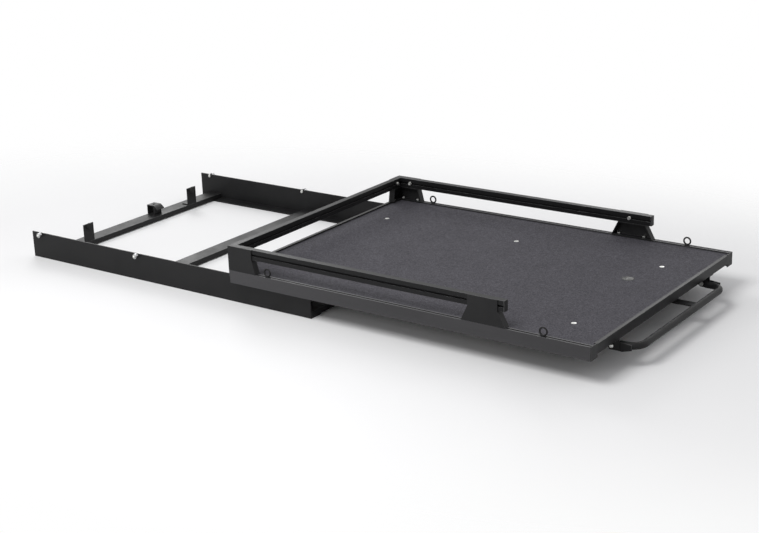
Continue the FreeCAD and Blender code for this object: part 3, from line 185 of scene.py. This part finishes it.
def black_extrusion(name, stretch):
    """Deep black coat on drawn aluminium, its grain along the draw."""
    return coat(name, dark=(0.006, 0.006, 0.0065), light=(0.010, 0.010, 0.0105), rough=(0.36, 0.5),
                grain=900.0, depth=0.0001, shine=0.16, stretch=stretch)


# %% [markdown]
# ### The deck's grit
#
# The deck's face is a sprayed non-slip coat: a dense grit of dark and light grains about a millimetre
# across, over a slow change of tone. The grains could be loose crumbs in the mesh, but there would be
# millions of them. So Voronoi cells give each grain its tone and its height, and low light catches them.

# %% Deck grit
GRAIN_SCALE = 620.0
GRAIN_TONES = [(0.0, (0.19, 0.185, 0.2)), (0.22, (0.098, 0.095, 0.107)), (0.6, (0.055, 0.053, 0.062))]


def grit():
    """Grey non-slip face."""
    material, nodes, links, shader, place = node_tree("deck_grit")
    slow = noise(nodes, links, place, 5.0, 4.0)
    patches = noise(nodes, links, place, 60.0)
    clumps = noise(nodes, links, place, 190.0)
    grains = nodes.new("ShaderNodeTexVoronoi")
    grains.inputs["Scale"].default_value = GRAIN_SCALE
    links.new(place, grains.inputs["Vector"])
    colour = spread(nodes, links, grains.outputs["Distance"], GRAIN_TONES)
    for factor, low, high in [(clumps, 0.68, 1.25), (patches, 0.88, 1.1), (slow, 0.93, 1.05)]:
        shade = spread(nodes, links, factor, [(0.32, (low, low, low)), (0.68, (high, high, high))])
        colour = multiplied(nodes, links, colour, shade)
    links.new(colour, shader.inputs["Base Color"])
    shader.inputs["Specular IOR Level"].default_value = 0.16
    links.new(between(nodes, links, clumps, 0.95, 0.78), shader.inputs["Roughness"])
    relief(nodes, links, shader, [(clumps, 0.35, 0.0005), (grains.outputs["Distance"], 0.55, 0.0004)])
    return material


# %% The finishes
ALONG = (1, 0.1, 1)
ACROSS = (0.1, 1, 1)
FINISH = {
    "black_extrusion": black_extrusion("black_extrusion", ALONG),
    "cross_extrusion": black_extrusion("cross_extrusion", ACROSS),
    "side_extrusion": coat("side_extrusion", dark=(0.030, 0.029, 0.031), light=(0.044, 0.043, 0.046),
                           rough=(0.38, 0.52), grain=900.0, depth=0.0001, shine=0.34, stretch=ALONG),
    "grey_deck": grit(),
    "black_steel": coat("black_steel", dark=(0.008, 0.008, 0.0085), light=(0.014, 0.014, 0.0145),
                        rough=(0.42, 0.58), grain=1100.0, depth=0.00016, shine=0.2),
    "zinc_steel": coat("zinc_steel", dark=(0.62, 0.62, 0.6), light=(0.8, 0.8, 0.78),
                       rough=(0.26, 0.4), grain=1100.0, depth=0.00003, metallic=1.0),
    "black_plastic": coat("black_plastic", dark=(0.009, 0.009, 0.0095), light=(0.015, 0.015, 0.0155),
                          rough=(0.5, 0.66), grain=1600.0, depth=0.00008, shine=0.35),
    "stop_rubber": coat("stop_rubber", dark=(0.01, 0.01, 0.01), light=(0.018, 0.018, 0.017),
                        rough=(0.75, 0.9), grain=1200.0, depth=0.0001, shine=0.3),
    "roller_steel": coat("roller_steel", dark=(0.42, 0.42, 0.43), light=(0.56, 0.56, 0.57),
                         rough=(0.2, 0.32), grain=1300.0, depth=0.00002, metallic=1.0),
}
print(f"{len(FINISH)} finishes: {', '.join(FINISH)}")

# %% [markdown]
# ### Rubbed edges and painted edge highlights
#
# Hands and cargo rub a coated edge smooth and a little brighter. A mask over the whole surface could
# follow the curvature, but it depends on the renderer. So the black finishes have a second, rubbed form,
# and it goes only on the narrow faces that round an edge. On steel and plastic that form is rubbed wear.
# On the extrusions it is rubbed wear made much brighter, a painted highlight: the thin line of light
# along each corner.

# %% Rubbed finishes and painted edge highlights
def rubbed_and_highlight_extrusion(name):
    """Coat worn thin over aluminium, made bright enough to be a painted highlight along the edges."""
    return coat(name, dark=(0.13, 0.13, 0.135), light=(0.26, 0.26, 0.265), rough=(0.25, 0.4),
                grain=700.0, depth=0.00004, metallic=0.6)


# The extrusions' forms here are painted highlights along the edges, the steel and plastic forms rubbed
# wear.
RUBBED_AND_HIGHLIGHT = {
    "black_extrusion": rubbed_and_highlight_extrusion("rubbed_and_highlight_extrusion"),
    "cross_extrusion": rubbed_and_highlight_extrusion("rubbed_and_highlight_cross"),
    "side_extrusion": rubbed_and_highlight_extrusion("rubbed_and_highlight_side"),
    "black_steel": coat("rubbed_steel", dark=(0.018, 0.018, 0.019), light=(0.07, 0.07, 0.072),
                        rough=(0.3, 0.5), grain=700.0, depth=0.00005, metallic=0.2),
    "black_plastic": coat("rubbed_plastic", dark=(0.02, 0.02, 0.021), light=(0.045, 0.045, 0.046),
                          rough=(0.4, 0.55), grain=900.0, depth=0.00006, shine=0.4),
}


def paint(obj, finish):
    """One finish over a whole piece, and its second form for the edges where there is one: rubbed wear,
    and on the extrusions a painted highlight.
    """
    obj.data.materials.clear()
    obj.data.materials.append(FINISH[finish])
    obj.data.materials.append(RUBBED_AND_HIGHLIGHT.get(finish, FINISH[finish]))


for name, obj in NODES.items():
    for index in range(len(obj.material_slots)):
        obj.material_slots[index].link = "OBJECT"
        obj.material_slots[index].material = FINISH[SLOT_OF[name]]
print(f"{len(RUBBED_AND_HIGHLIGHT)} finishes have a rubbed form")

# %% [markdown]
# ## Rounded edges
#
# Folded and extruded metal never has a knife edge: a thin line of light runs along each corner. A shader
# can fake that line, but the mesh would still be sharp. So each of these pieces is rebuilt from its
# solid's own surface. Flat triangles are merged back into whole faces, and a Bevel modifier goes round
# every sharp edge. Weighted Normal then keeps the big faces flat to the light.

# %% Finished pieces
def settled(name, obj, body, finish, *replaced):
    """A finished piece, riding on its body in place of its solids."""
    obj.name = name
    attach(obj, body)
    if replaced:
        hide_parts(*replaced)
    return obj


def applied(obj):
    """The object with its modifiers made into plain mesh."""
    shape = bpy.data.meshes.new_from_object(obj.evaluated_get(bpy.context.evaluated_depsgraph_get()))
    obj.modifiers.clear()
    obj.data = shape
    return obj


# %% Rounding tool
SAME_POINT = 1e-6
SAME_PLANE = math.radians(0.5)
SHARP = math.radians(40)
TOUCH = 1e-5
BEVEL_SEGMENTS = 2


def on_rim(edge, low, high):
    """Whether an edge lies on an outer corner of a box, the corner of two of its sides."""
    middle = (edge.verts[0].co + edge.verts[1].co) / 2
    return sum(min(middle[k] - low[k], high[k] - middle[k]) < TOUCH for k in range(3)) >= 2


def merged(node, rim_share):
    """The node's surface with whole faces, and on each sharp edge the share of the bevel it gets."""
    shape = bmesh.new()
    shape.from_mesh(NODES[node].data)
    bmesh.ops.remove_doubles(shape, verts=shape.verts, dist=SAME_POINT)
    bmesh.ops.dissolve_limit(shape, angle_limit=SAME_PLANE, verts=shape.verts, edges=shape.edges)
    bmesh.ops.recalc_face_normals(shape, faces=shape.faces)
    low, high = map(Vector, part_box(node))
    weight = shape.edges.layers.float.new("bevel_weight_edge")
    for edge in shape.edges:
        if len(edge.link_faces) == 2 and edge.calc_face_angle() > SHARP:
            edge[weight] = 1.0 if on_rim(edge, low, high) else rim_share
    mesh = bpy.data.meshes.new(node + "_finished")
    shape.to_mesh(mesh)
    shape.free()
    mesh.shade_smooth()
    return mesh


def rounded(node, width, finish=None, rim=None):
    """The node's shape with a small radius on each sharp edge, and smooth over its curves.

    rim is a larger radius, for the outer corners of an extrusion.
    """
    rim = rim or width
    obj = bpy.data.objects.new(node + "_finished", merged(node, width / rim))
    bpy.context.scene.collection.objects.link(obj)
    paint(obj, finish or SLOT_OF[node])
    bevel = obj.modifiers.new("edge", "BEVEL")
    # The bevel's faces take the second material: rubbed wear, and on the extrusions a painted highlight.
    bevel.material = 1
    bevel.width = rim
    bevel.segments = BEVEL_SEGMENTS
    bevel.limit_method = "WEIGHT"
    flat = obj.modifiers.new("flat_faces", "WEIGHTED_NORMAL")
    flat.mode = "FACE_AREA"
    flat.weight = 100
    applied(obj)
    return settled(node + "_finished", obj, BODY_OF[node], SLOT_OF[node], node)


# %% [markdown]
# Each way of making leaves its own radius. Moulded caps and small cleats have just under a millimetre,
# folded plate a little more, and turned or drawn pieces less than half of one.

# %% Plates, caps, tubes and rollers
MOULDED, FOLDED, TURNED = 0.0009, 0.0012, 0.0004
ROLLERS = [f"roller_{side}_{number}" for side in ("left", "right") for number in range(1, 5)]
EDGES = {
    MOULDED: ["end_caps", "guard_rail_caps", "corner_cleats"],
    FOLDED: ["rear_bracket_left", "rear_bracket_right", "corner_bracket_left", "corner_bracket_right",
             "handle_arms", "handle_hangers", "latch_lever", "latch_housing", "latch_keeper",
             "stop_brackets", "stop_tabs", "base_rail_left", "base_rail_right", "base_cross_members"],
    TURNED: ["handle_tube", "tie_down_eyes", "stop_bumpers", "rod_guides", "pull_rod", "latch_plunger",
             "handle_pivot_bolts", "handle_pivot_nuts", "base_nuts", "slot_nuts", "front_rail_nuts",
             "roller_axle_bolts", "roller_inner_races", "rail_bolt_washers", "cross_member_rivets",
             "end_frame_rivets", "lever_pin", "plunger_cross_pin"] + ROLLERS,
}
for width, nodes in EDGES.items():
    pieces = [rounded(node, width) for node in nodes]
    print(f"{len(pieces)} pieces with edges of {1000 * width:.1f} mm, "
          f"{sum(len(piece.data.polygons) for piece in pieces)} faces")

# %% [markdown]
# An extrusion has two radii. Its outer corners are broad, so that they don't cut a hand, and the lips of
# its slots are fine. The bevel's weight on each edge tells the two apart in one modifier. The broad
# corners carry the widest band of the bright edge finish, a painted highlight along the outer edges.

# %% Extrusions
SLOT_LIP, SIDE_CORNER, RAIL_CORNER = 0.0007, 0.0014, 0.0018
for node in ("side_extrusion_left", "side_extrusion_right"):
    rounded(node, SLOT_LIP, "side_extrusion", rim=SIDE_CORNER)
for node in ("guard_rail_left", "guard_rail_right"):
    rounded(node, SLOT_LIP, "black_extrusion", rim=RAIL_CORNER)
for node in ("guard_rail_front", "rear_end_rail", "front_end_rail",
             "deck_cross_member_1", "deck_cross_member_2", "deck_cross_member_3"):
    rounded(node, SLOT_LIP, "cross_extrusion", rim=RAIL_CORNER)
print(f"10 extrusions, outer corners {1000 * SIDE_CORNER:.1f} and {1000 * RAIL_CORNER:.1f} mm")

# %% [markdown]
# ## The deck board
#
# The deck is a board with the grit sprayed on its top face only. Its underside and its edges, which the
# extrusions hide, keep the board maker's smooth dark film. A third material on the faces that don't look
# up is enough for that, and the board stays one piece.

# %% Deck board
BOARD_EDGE = 0.0009
FACES_UP = 0.5
board = rounded("deck_board", BOARD_EDGE)
board.data.materials.append(coat("board_film", dark=(0.020, 0.014, 0.011), light=(0.034, 0.024, 0.018),
                                 rough=(0.35, 0.5), grain=700.0, depth=0.00005, shine=0.35,
                                 stretch=ACROSS))
for face in board.data.polygons:
    if face.normal.z < FACES_UP:
        face.material_index = 2
filmed = sum(face.material_index == 2 for face in board.data.polygons)
print(f"deck board: film on {filmed} of {len(board.data.polygons)} faces")

# %% [markdown]
# ## Fasteners by Geometry Nodes
#
# Every bolt of one kind is the same bolt. Copying meshes by hand would work, but a node group says it
# once: a master piece, a cloud of points, and a copy on each point. The points are the middles of the
# solids that the copies stand for, and each point carries its own turn. Realize Instances makes the
# copies real mesh, because instances would be lost on export.

# %% Where the copies go
def islands(node):
    """The corners of each separate solid in a node, as (low, high) pairs."""
    shape = bmesh.new()
    shape.from_mesh(NODES[node].data)
    bmesh.ops.remove_doubles(shape, verts=shape.verts, dist=SAME_POINT)
    shape.verts.ensure_lookup_table()
    seen = set()
    found = []
    for start in shape.verts:
        if start.index in seen:
            continue
        stack = [start]
        seen.add(start.index)
        points = []
        while stack:
            vertex = stack.pop()
            points.append(vertex.co.copy())
            for edge in vertex.link_edges:
                other = edge.other_vert(vertex)
                if other.index not in seen:
                    seen.add(other.index)
                    stack.append(other)
        found.append((Vector(map(min, zip(*points))), Vector(map(max, zip(*points)))))
    shape.free()
    print(f"{node}: {len(found)} solids to stand for")
    return found


# %% Node group for the copies
def copies_tree():
    """Node group: a copy of one piece on each point, turned by the point's own angles."""
    tree = bpy.data.node_groups.new("copies_on_points", "GeometryNodeTree")
    face = tree.interface
    face.new_socket("Geometry", in_out="INPUT", socket_type="NodeSocketGeometry")
    face.new_socket("Piece", in_out="INPUT", socket_type="NodeSocketObject")
    face.new_socket("Finish", in_out="INPUT", socket_type="NodeSocketMaterial")
    face.new_socket("Size", in_out="INPUT", socket_type="NodeSocketFloat").default_value = 1.0
    face.new_socket("Geometry", in_out="OUTPUT", socket_type="NodeSocketGeometry")
    nodes = tree.nodes
    links = tree.links
    start = nodes.new("NodeGroupInput")
    end = nodes.new("NodeGroupOutput")
    points = nodes.new("GeometryNodeMeshToPoints")
    piece = nodes.new("GeometryNodeObjectInfo")
    turn = nodes.new("GeometryNodeInputNamedAttribute")
    turn.data_type = "FLOAT_VECTOR"
    turn.inputs["Name"].default_value = "turn"
    to_rotation = nodes.new("FunctionNodeEulerToRotation")
    copies = nodes.new("GeometryNodeInstanceOnPoints")
    real = nodes.new("GeometryNodeRealizeInstances")
    finish = nodes.new("GeometryNodeSetMaterial")
    links.new(start.outputs["Geometry"], points.inputs["Mesh"])
    links.new(start.outputs["Piece"], piece.inputs["Object"])
    links.new(points.outputs["Points"], copies.inputs["Points"])
    links.new(piece.outputs["Geometry"], copies.inputs["Instance"])
    links.new(turn.outputs["Attribute"], to_rotation.inputs["Euler"])
    links.new(to_rotation.outputs["Rotation"], copies.inputs["Rotation"])
    links.new(start.outputs["Size"], copies.inputs["Scale"])
    links.new(copies.outputs["Instances"], real.inputs["Geometry"])
    links.new(real.outputs["Geometry"], finish.inputs["Geometry"])
    links.new(start.outputs["Finish"], finish.inputs["Material"])
    links.new(finish.outputs["Geometry"], end.inputs["Geometry"])
    return tree


COPIES = copies_tree()
CREASE = math.radians(35)


def socket_id(tree, name):
    """The identifier of a named input of a node group."""
    return [item.identifier for item in tree.interface.items_tree
            if item.name == name and item.in_out == "INPUT"][0]


def placed(node, master, spots):
    """Zinc-plated copies of a master on the deck, at (point, angles) spots, in place of a node."""
    name = node + "_finished"
    cloud = bpy.data.meshes.new(name)
    cloud.from_pydata([tuple(point) for point, _ in spots], [], [])
    turns = cloud.attributes.new("turn", "FLOAT_VECTOR", "POINT")
    for index, (_, angles) in enumerate(spots):
        turns.data[index].vector = angles
    obj = bpy.data.objects.new(name, cloud)
    bpy.context.scene.collection.objects.link(obj)
    modifier = obj.modifiers.new("copies", "NODES")
    modifier.node_group = COPIES
    modifier[socket_id(COPIES, "Piece")] = master
    modifier[socket_id(COPIES, "Finish")] = FINISH["zinc_steel"]
    modifier[socket_id(COPIES, "Size")] = 1.0
    bpy.context.view_layer.update()
    applied(obj)
    obj.data.shade_smooth()
    obj.data.set_sharp_from_angle(angle=CREASE)
    print(f"{name}: {len(spots)} copies of {len(master.data.polygons)} faces each")
    bpy.data.objects.remove(master, do_unlink=True)
    return settled(name, obj, "deck", "zinc_steel", node)


# %% [markdown]
# ### Turned masters
#
# A real bolt or screw is turned from bar, so its master is a profile spun about Z. Where a hexagon is
# pressed on the head, the same rings are pulled in to the flats. A socket is a six-sided pocket, and the
# ring round it is filled with triangles.

# %% Lathe
def hexagon_reach(radius, angle, flats):
    """How far a hexagon of this width across its flats reaches at an angle, at most the radius."""
    sector = (angle + math.pi / 6) % (math.pi / 3) - math.pi / 6
    return min(radius, flats / 2 / math.cos(sector))


def socketed(shape, top_ring, top, flats, depth):
    """A hexagonal recess in the face that the top ring bounds."""
    sides = len(top_ring)
    corner = flats / math.sqrt(3)
    rim = [shape.verts.new((corner * math.cos(math.pi * k / 3), corner * math.sin(math.pi * k / 3), top))
           for k in range(6)]
    floor = [shape.verts.new((v.co.x, v.co.y, top - depth)) for v in rim]
    for k in range(6):
        shape.faces.new((rim[k], rim[(k + 1) % 6], floor[(k + 1) % 6], floor[k]))
    shape.faces.new(floor)
    edges = [shape.edges.get((top_ring[k], top_ring[(k + 1) % sides])) for k in range(sides)]
    edges += [shape.edges.get((rim[k], rim[(k + 1) % 6])) for k in range(6)]
    bmesh.ops.triangle_fill(shape, edges=edges, use_beauty=True)


def lathe(name, profile, sides, hexed=None, socket=None):
    """A turned master: (radius, height) points spun about Z, closed at both ends.

    hexed is (flats, low, high): the rings between those heights become a chamfered hexagon.
    socket is (flats, depth): a hexagonal recess in the top.
    """
    shape = bmesh.new()
    rings = []
    for radius, height in profile:
        ring = []
        for k in range(sides):
            angle = 2 * math.pi * k / sides
            reach = radius
            if hexed and hexed[1] <= height <= hexed[2]:
                reach = hexagon_reach(radius, angle, hexed[0])
            ring.append(shape.verts.new((reach * math.cos(angle), reach * math.sin(angle), height)))
        rings.append(ring)
    for lower, upper in zip(rings, rings[1:]):
        for k in range(sides):
            shape.faces.new((lower[k], lower[(k + 1) % sides], upper[(k + 1) % sides], upper[k]))
    shape.faces.new(list(reversed(rings[0])))
    if socket:
        socketed(shape, rings[-1], profile[-1][1], *socket)
    else:
        shape.faces.new(rings[-1])
    bmesh.ops.recalc_face_normals(shape, faces=shape.faces)
    mesh = bpy.data.meshes.new(name)
    shape.to_mesh(mesh)
    shape.free()
    obj = bpy.data.objects.new(name, mesh)
    bpy.context.scene.collection.objects.link(obj)
    return obj


# %% [markdown]
# ### Bolts and screws
#
# The bolts have an 8 mm shank, a chamfered hexagon and a short thread at the point. The thread is a row
# of rings, not a helix: at this size nobody can tell, and it stays closed. The deck screws are
# countersunk with a hexagon socket. Each copy fills exactly the room of the plain solid that it replaces.

# %% Hexagon bolts on the brackets
SHANK = 0.004
HEAD = 0.0053
FLATS = 0.013
PITCH = 0.00125
THREAD_LENGTH = 0.016
POINT = 0.0008
UP = (0.0, 0.0, 0.0)
QUARTER = (0.0, 0.0, math.pi / 2)


def hex_bolt(name, length):
    """Hexagon bolt: seat at zero, head above, threaded shank below."""
    reach = FLATS / math.sqrt(3)
    profile = [(SHANK - POINT, -length), (SHANK, -length + POINT)]
    start = -length + POINT
    for k in range(max(2, int(min(length, THREAD_LENGTH) / PITCH))):
        profile.append((SHANK, start + PITCH * k + 0.0002))
        profile.append((SHANK - 0.0006, start + PITCH * k + 0.0006))
        profile.append((SHANK, start + PITCH * k + 0.00105))
    profile += [(SHANK, -0.0001), (SHANK, 0.0), (reach, 0.0), (reach, HEAD - 0.0012), (reach * 0.88, HEAD)]
    return lathe(name, profile, sides=36, hexed=(FLATS, -0.00005, HEAD - 0.0006))


def under_tops(solids, drop, turn):
    """A spot in the middle of each solid, this far under its top."""
    return [(((lo.x + hi.x) / 2, (lo.y + hi.y) / 2, hi.z - drop), turn) for lo, hi in solids]


FOOT_BOLT_LENGTH = 0.0125
foot_bolt = hex_bolt("foot_bolt_master", FOOT_BOLT_LENGTH)
placed("bracket_foot_bolts", foot_bolt, under_tops(islands("bracket_foot_bolts"), HEAD, QUARTER))

lip_solids = islands("front_bracket_bolts")
lip_bolt = hex_bolt("lip_bolt_master", lip_solids[0][1].z - lip_solids[0][0].z - HEAD)
placed("front_bracket_bolts", lip_bolt, under_tops(lip_solids, HEAD, UP))

# %% Bolts through the guard rails
RAIL_BOLT_LENGTH = 0.0291
TO_LEFT = (0.0, -math.pi / 2, 0.0)
TO_RIGHT = (0.0, math.pi / 2, 0.0)
TO_REAR = (math.pi / 2, 0.0, 0.0)
rail_bolt = hex_bolt("rail_bolt_master", RAIL_BOLT_LENGTH)
rail_spots = []
for lo, hi in islands("rail_bolts"):
    middle = (lo + hi) / 2
    size = hi - lo
    if size.y > size.x:
        rail_spots.append(((middle.x, lo.y + HEAD, middle.z), TO_REAR))
    elif middle.x < 0:
        rail_spots.append(((hi.x - HEAD, middle.y, middle.z), TO_RIGHT))
    else:
        rail_spots.append(((lo.x + HEAD, middle.y, middle.z), TO_LEFT))
placed("rail_bolts", rail_bolt, rail_spots)

# %% Countersunk deck screws
SCREW_HEAD = 0.0099
SCREW_SHANK = 0.003
SCREW_PROFILE = [(0.0006, -0.026), (0.0026, -0.0225), (SCREW_SHANK, -0.022), (SCREW_SHANK, -0.0035),
                 (SCREW_HEAD, -0.0004), (SCREW_HEAD, -0.0002), (SCREW_HEAD - 0.0003, 0.0)]
screw = lathe("deck_screw_master", SCREW_PROFILE, sides=32, socket=(0.005, 0.0022))
placed("deck_screws", screw, under_tops(islands("deck_screws"), 0.0, UP))

# %% [markdown]
# ## The access hole
#
# A ring lines the hole in the board. Its flat face has the same black paint as the steel parts. Its inner
# wall is bare, so it catches the light. Two materials on one mesh, told apart by where each face looks,
# leave no seam between them.

# %% Access hole ring
RING_FACE_UP = 0.3
ring = rounded("access_hole_ring", TURNED)
ring.data.materials[1] = FINISH["black_steel"]
ring.data.materials[0] = coat("bare_wall", dark=(0.65, 0.65, 0.64), light=(0.82, 0.82, 0.8),
                              rough=(0.22, 0.34), grain=1100.0, depth=0.00003, metallic=0.5)
for face in ring.data.polygons:
    if face.normal.z > RING_FACE_UP:
        face.material_index = 1
painted = sum(face.material_index == 1 for face in ring.data.polygons)
print(f"access hole ring: paint on {painted} of {len(ring.data.polygons)} faces")

# %% [markdown]
# ## The latch spring
#
# The spring sits between the plunger and the board above it. When the plunger lifts, the spring's foot
# goes up with it and its top stays under the board, so it has to get shorter. It could be a screw sweep
# of a circle, but a curve with a round section is simpler and closes its own ends. It is turned into a
# mesh that rides on the spring's body, with its length fixed.

# %% Latch spring
COIL_TURNS = 4
COIL_STEPS = 24
COIL_WIRE = 0.0008


def wound_wire(name, low, high):
    """Mesh of a round wire wound between the ends of a box."""
    middle = (low + high) / 2
    mean = (high.x - low.x) / 2 - COIL_WIRE
    rise = high.z - low.z - 2 * COIL_WIRE
    count = COIL_TURNS * COIL_STEPS
    curve = bpy.data.curves.new(name, "CURVE")
    curve.dimensions = "3D"
    curve.bevel_depth = COIL_WIRE
    curve.bevel_resolution = 2
    curve.use_fill_caps = True
    line = curve.splines.new("POLY")
    line.points.add(count)
    for index, point in enumerate(line.points):
        angle = 2 * math.pi * index / COIL_STEPS
        height = low.z + COIL_WIRE + rise * index / count
        point.co = (middle.x + mean * math.cos(angle), middle.y + mean * math.sin(angle), height, 1)
    wound = bpy.data.objects.new(name + "_curve", curve)
    bpy.context.scene.collection.objects.link(wound)
    bpy.context.view_layer.update()
    mesh = bpy.data.meshes.new_from_object(wound.evaluated_get(bpy.context.evaluated_depsgraph_get()))
    bpy.data.objects.remove(wound, do_unlink=True)
    mesh.shade_smooth()
    return mesh


def coil(name, node):
    """A spring in place of the node, riding on the node's body at a fixed length."""
    low, high = map(Vector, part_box(node))
    obj = bpy.data.objects.new(name, wound_wire(name, low, high))
    bpy.context.scene.collection.objects.link(obj)
    paint(obj, "zinc_steel")
    settled(name, obj, BODY_OF[node], SLOT_OF[node], node)
    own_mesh(obj)


coil("latch_spring_finished", "latch_spring")

# %% [markdown]
# ## Studio floor
#
# A product photograph has a floor that runs into a white backdrop with no line between them. A bent sweep
# of paper would do that from one side only. This floor is flat and fades out with distance instead, so
# the backdrop shows through from every side, and the shadow under the base rails stays.

# %% Floor
FLOOR_HEIGHT = -0.0005
FLOOR_REACH = 9.0
FLOOR_MIDDLE = (0.0, -0.75, 0.0)
FLOOR_SHAPE = (1.0, 0.6, 1.0)
FLOOR_NEAR, FLOOR_FAR = 1.0, 2.3


def vector_step(nodes, links, kind, source, value):
    """A vector moved or scaled by a fixed one."""
    step = nodes.new("ShaderNodeVectorMath")
    step.operation = kind
    step.inputs[1].default_value = value
    links.new(source, step.inputs[0])
    return step.outputs["Vector"]


def fading(nodes, links, place):
    """One near the middle of the floor and zero far from it, over a long oval."""
    shifted = vector_step(nodes, links, "SUBTRACT", place, FLOOR_MIDDLE)
    shaped = vector_step(nodes, links, "MULTIPLY", shifted, FLOOR_SHAPE)
    distance = nodes.new("ShaderNodeVectorMath")
    distance.operation = "LENGTH"
    links.new(shaped, distance.inputs[0])
    fade = nodes.new("ShaderNodeMapRange")
    fade.interpolation_type = "SMOOTHSTEP"
    fade.inputs["From Min"].default_value = FLOOR_NEAR
    fade.inputs["From Max"].default_value = FLOOR_FAR
    fade.inputs["To Min"].default_value = 1.0
    fade.inputs["To Max"].default_value = 0.0
    links.new(distance.outputs["Value"], fade.inputs["Value"])
    return fade.outputs["Result"]


def pale_floor():
    """Broad floor just under the base rails, see-through at its rim."""
    mesh = bpy.data.meshes.new("floor")
    corners = [(-1, -1), (1, -1), (1, 1), (-1, 1)]
    mesh.from_pydata([(x * FLOOR_REACH, y * FLOOR_REACH, FLOOR_HEIGHT) for x, y in corners],
                     [], [(0, 1, 2, 3)])
    obj = bpy.data.objects.new("floor", mesh)
    bpy.context.scene.collection.objects.link(obj)
    material, nodes, links, shader, place = node_tree("pale_floor")
    tone = spread(nodes, links, noise(nodes, links, place, 0.8),
                  [(NOISE_LOW, (0.88, 0.88, 0.88)), (NOISE_HIGH, (0.9, 0.9, 0.9))])
    links.new(tone, shader.inputs["Base Color"])
    shader.inputs["Roughness"].default_value = 0.9
    shader.inputs["Specular IOR Level"].default_value = 0.0
    links.new(fading(nodes, links, place), shader.inputs["Alpha"])
    obj.data.materials.append(material)


pale_floor()
print(f"floor: solid to {FLOOR_NEAR} m from its middle, gone at {FLOOR_FAR} m")

# %% [markdown]
# ## Lamps
#
# Black metal shows mostly what it mirrors, so broad, soft lamps draw its edges better than strong ones.
# The key stands high on the near side, a low lamp lights the near side face, and a big one behind puts a
# sheen on the deck. The fill and the far lamp are weak and only open the shadows.

# %% Lamps
MIDDLE = (0.0, -0.75, 0.1)


def lamp(name, place, aim, size, watts):
    """A soft square lamp that looks at a point."""
    data = bpy.data.lights.new(name, "AREA")
    data.shape = "SQUARE"
    data.size = size
    data.energy = watts
    obj = bpy.data.objects.new(name, data)
    obj.location = place
    obj.rotation_euler = (Vector(aim) - Vector(place)).to_track_quat("-Z", "Y").to_euler()
    obj.visible_camera = False
    bpy.context.scene.collection.objects.link(obj)
    print(f"{name} lamp: {size} m wide, {watts:.0f} W")


lamp("key", (-3.2, -0.5, 4.6), MIDDLE, size=2.6, watts=168.0)
lamp("side", (-3.2, -0.6, 1.0), (-0.6, -1.0, 0.15), size=1.5, watts=16.0)
lamp("fill", (2.6, -5.0, 3.4), MIDDLE, size=3.0, watts=14.0)
lamp("back", (3.0, 4.0, 3.0), MIDDLE, size=2.5, watts=110.0)
lamp("far_side", (3.4, -0.7, 1.3), (0.6, -0.7, 0.1), size=1.8, watts=14.0)

# %% [markdown]
# ## White backdrop
#
# A white world would also light the object from all sides and wash out its blacks. Light Path tells what
# kind of ray asks for the world's colour. The camera, mirrors and glass get white, and everything else
# gets a weaker grey.

# %% World
AMBIENT = (0.4, 0.4, 0.41, 1.0)
BACKDROP = (1.0, 1.0, 1.0, 1.0)
world = bpy.data.worlds.new("studio")
world.use_nodes = True
world_nodes = world.node_tree.nodes
world_links = world.node_tree.links
rays = world_nodes.new("ShaderNodeLightPath").outputs


def either(first, second):
    """One where either of two ray tests is one."""
    larger = world_nodes.new("ShaderNodeMath")
    larger.operation = "MAXIMUM"
    world_links.new(first, larger.inputs[0])
    world_links.new(second, larger.inputs[1])
    return larger.outputs["Value"]


sees_white = either(either(rays["Is Camera Ray"], rays["Is Transmission Ray"]), rays["Is Glossy Ray"])
choice = world_nodes.new("ShaderNodeMix")
choice.data_type = "RGBA"
choice.inputs[6].default_value = AMBIENT
choice.inputs[7].default_value = BACKDROP
world_links.new(sees_white, choice.inputs["Factor"])
world_links.new(choice.outputs[2], world_nodes["Background"].inputs["Color"])
bpy.context.scene.world = world
print(f"world: light {AMBIENT[0]}, backdrop {BACKDROP[0]}")

# %% [markdown]
# ## Camera
#
# The camera looks from the near rear corner, a little above the deck. Its place, turn and lens come from
# fitting a camera to the deck's straight edges and corners. The small roll is part of that fit.

# %% Camera
SENSOR_MM = 36.0
LENS_MM = 71.2
CAMERA_PLACE = (-4.92, -4.319, 2.101)
CAMERA_TURN = (71.283, 1.872, -54.4926)
camera = bpy.data.objects.new("camera", bpy.data.cameras.new("camera"))
camera.data.sensor_width = SENSOR_MM
camera.data.lens = LENS_MM
camera.location = CAMERA_PLACE
camera.rotation_euler = Euler([math.radians(degrees) for degrees in CAMERA_TURN])
bpy.context.scene.collection.objects.link(camera)
bpy.context.scene.camera = camera
bpy.context.scene.view_settings.view_transform = "Standard"
print(f"camera: {LENS_MM} mm lens, {(Vector(CAMERA_PLACE) - Vector(MIDDLE)).length:.2f} m from the deck")
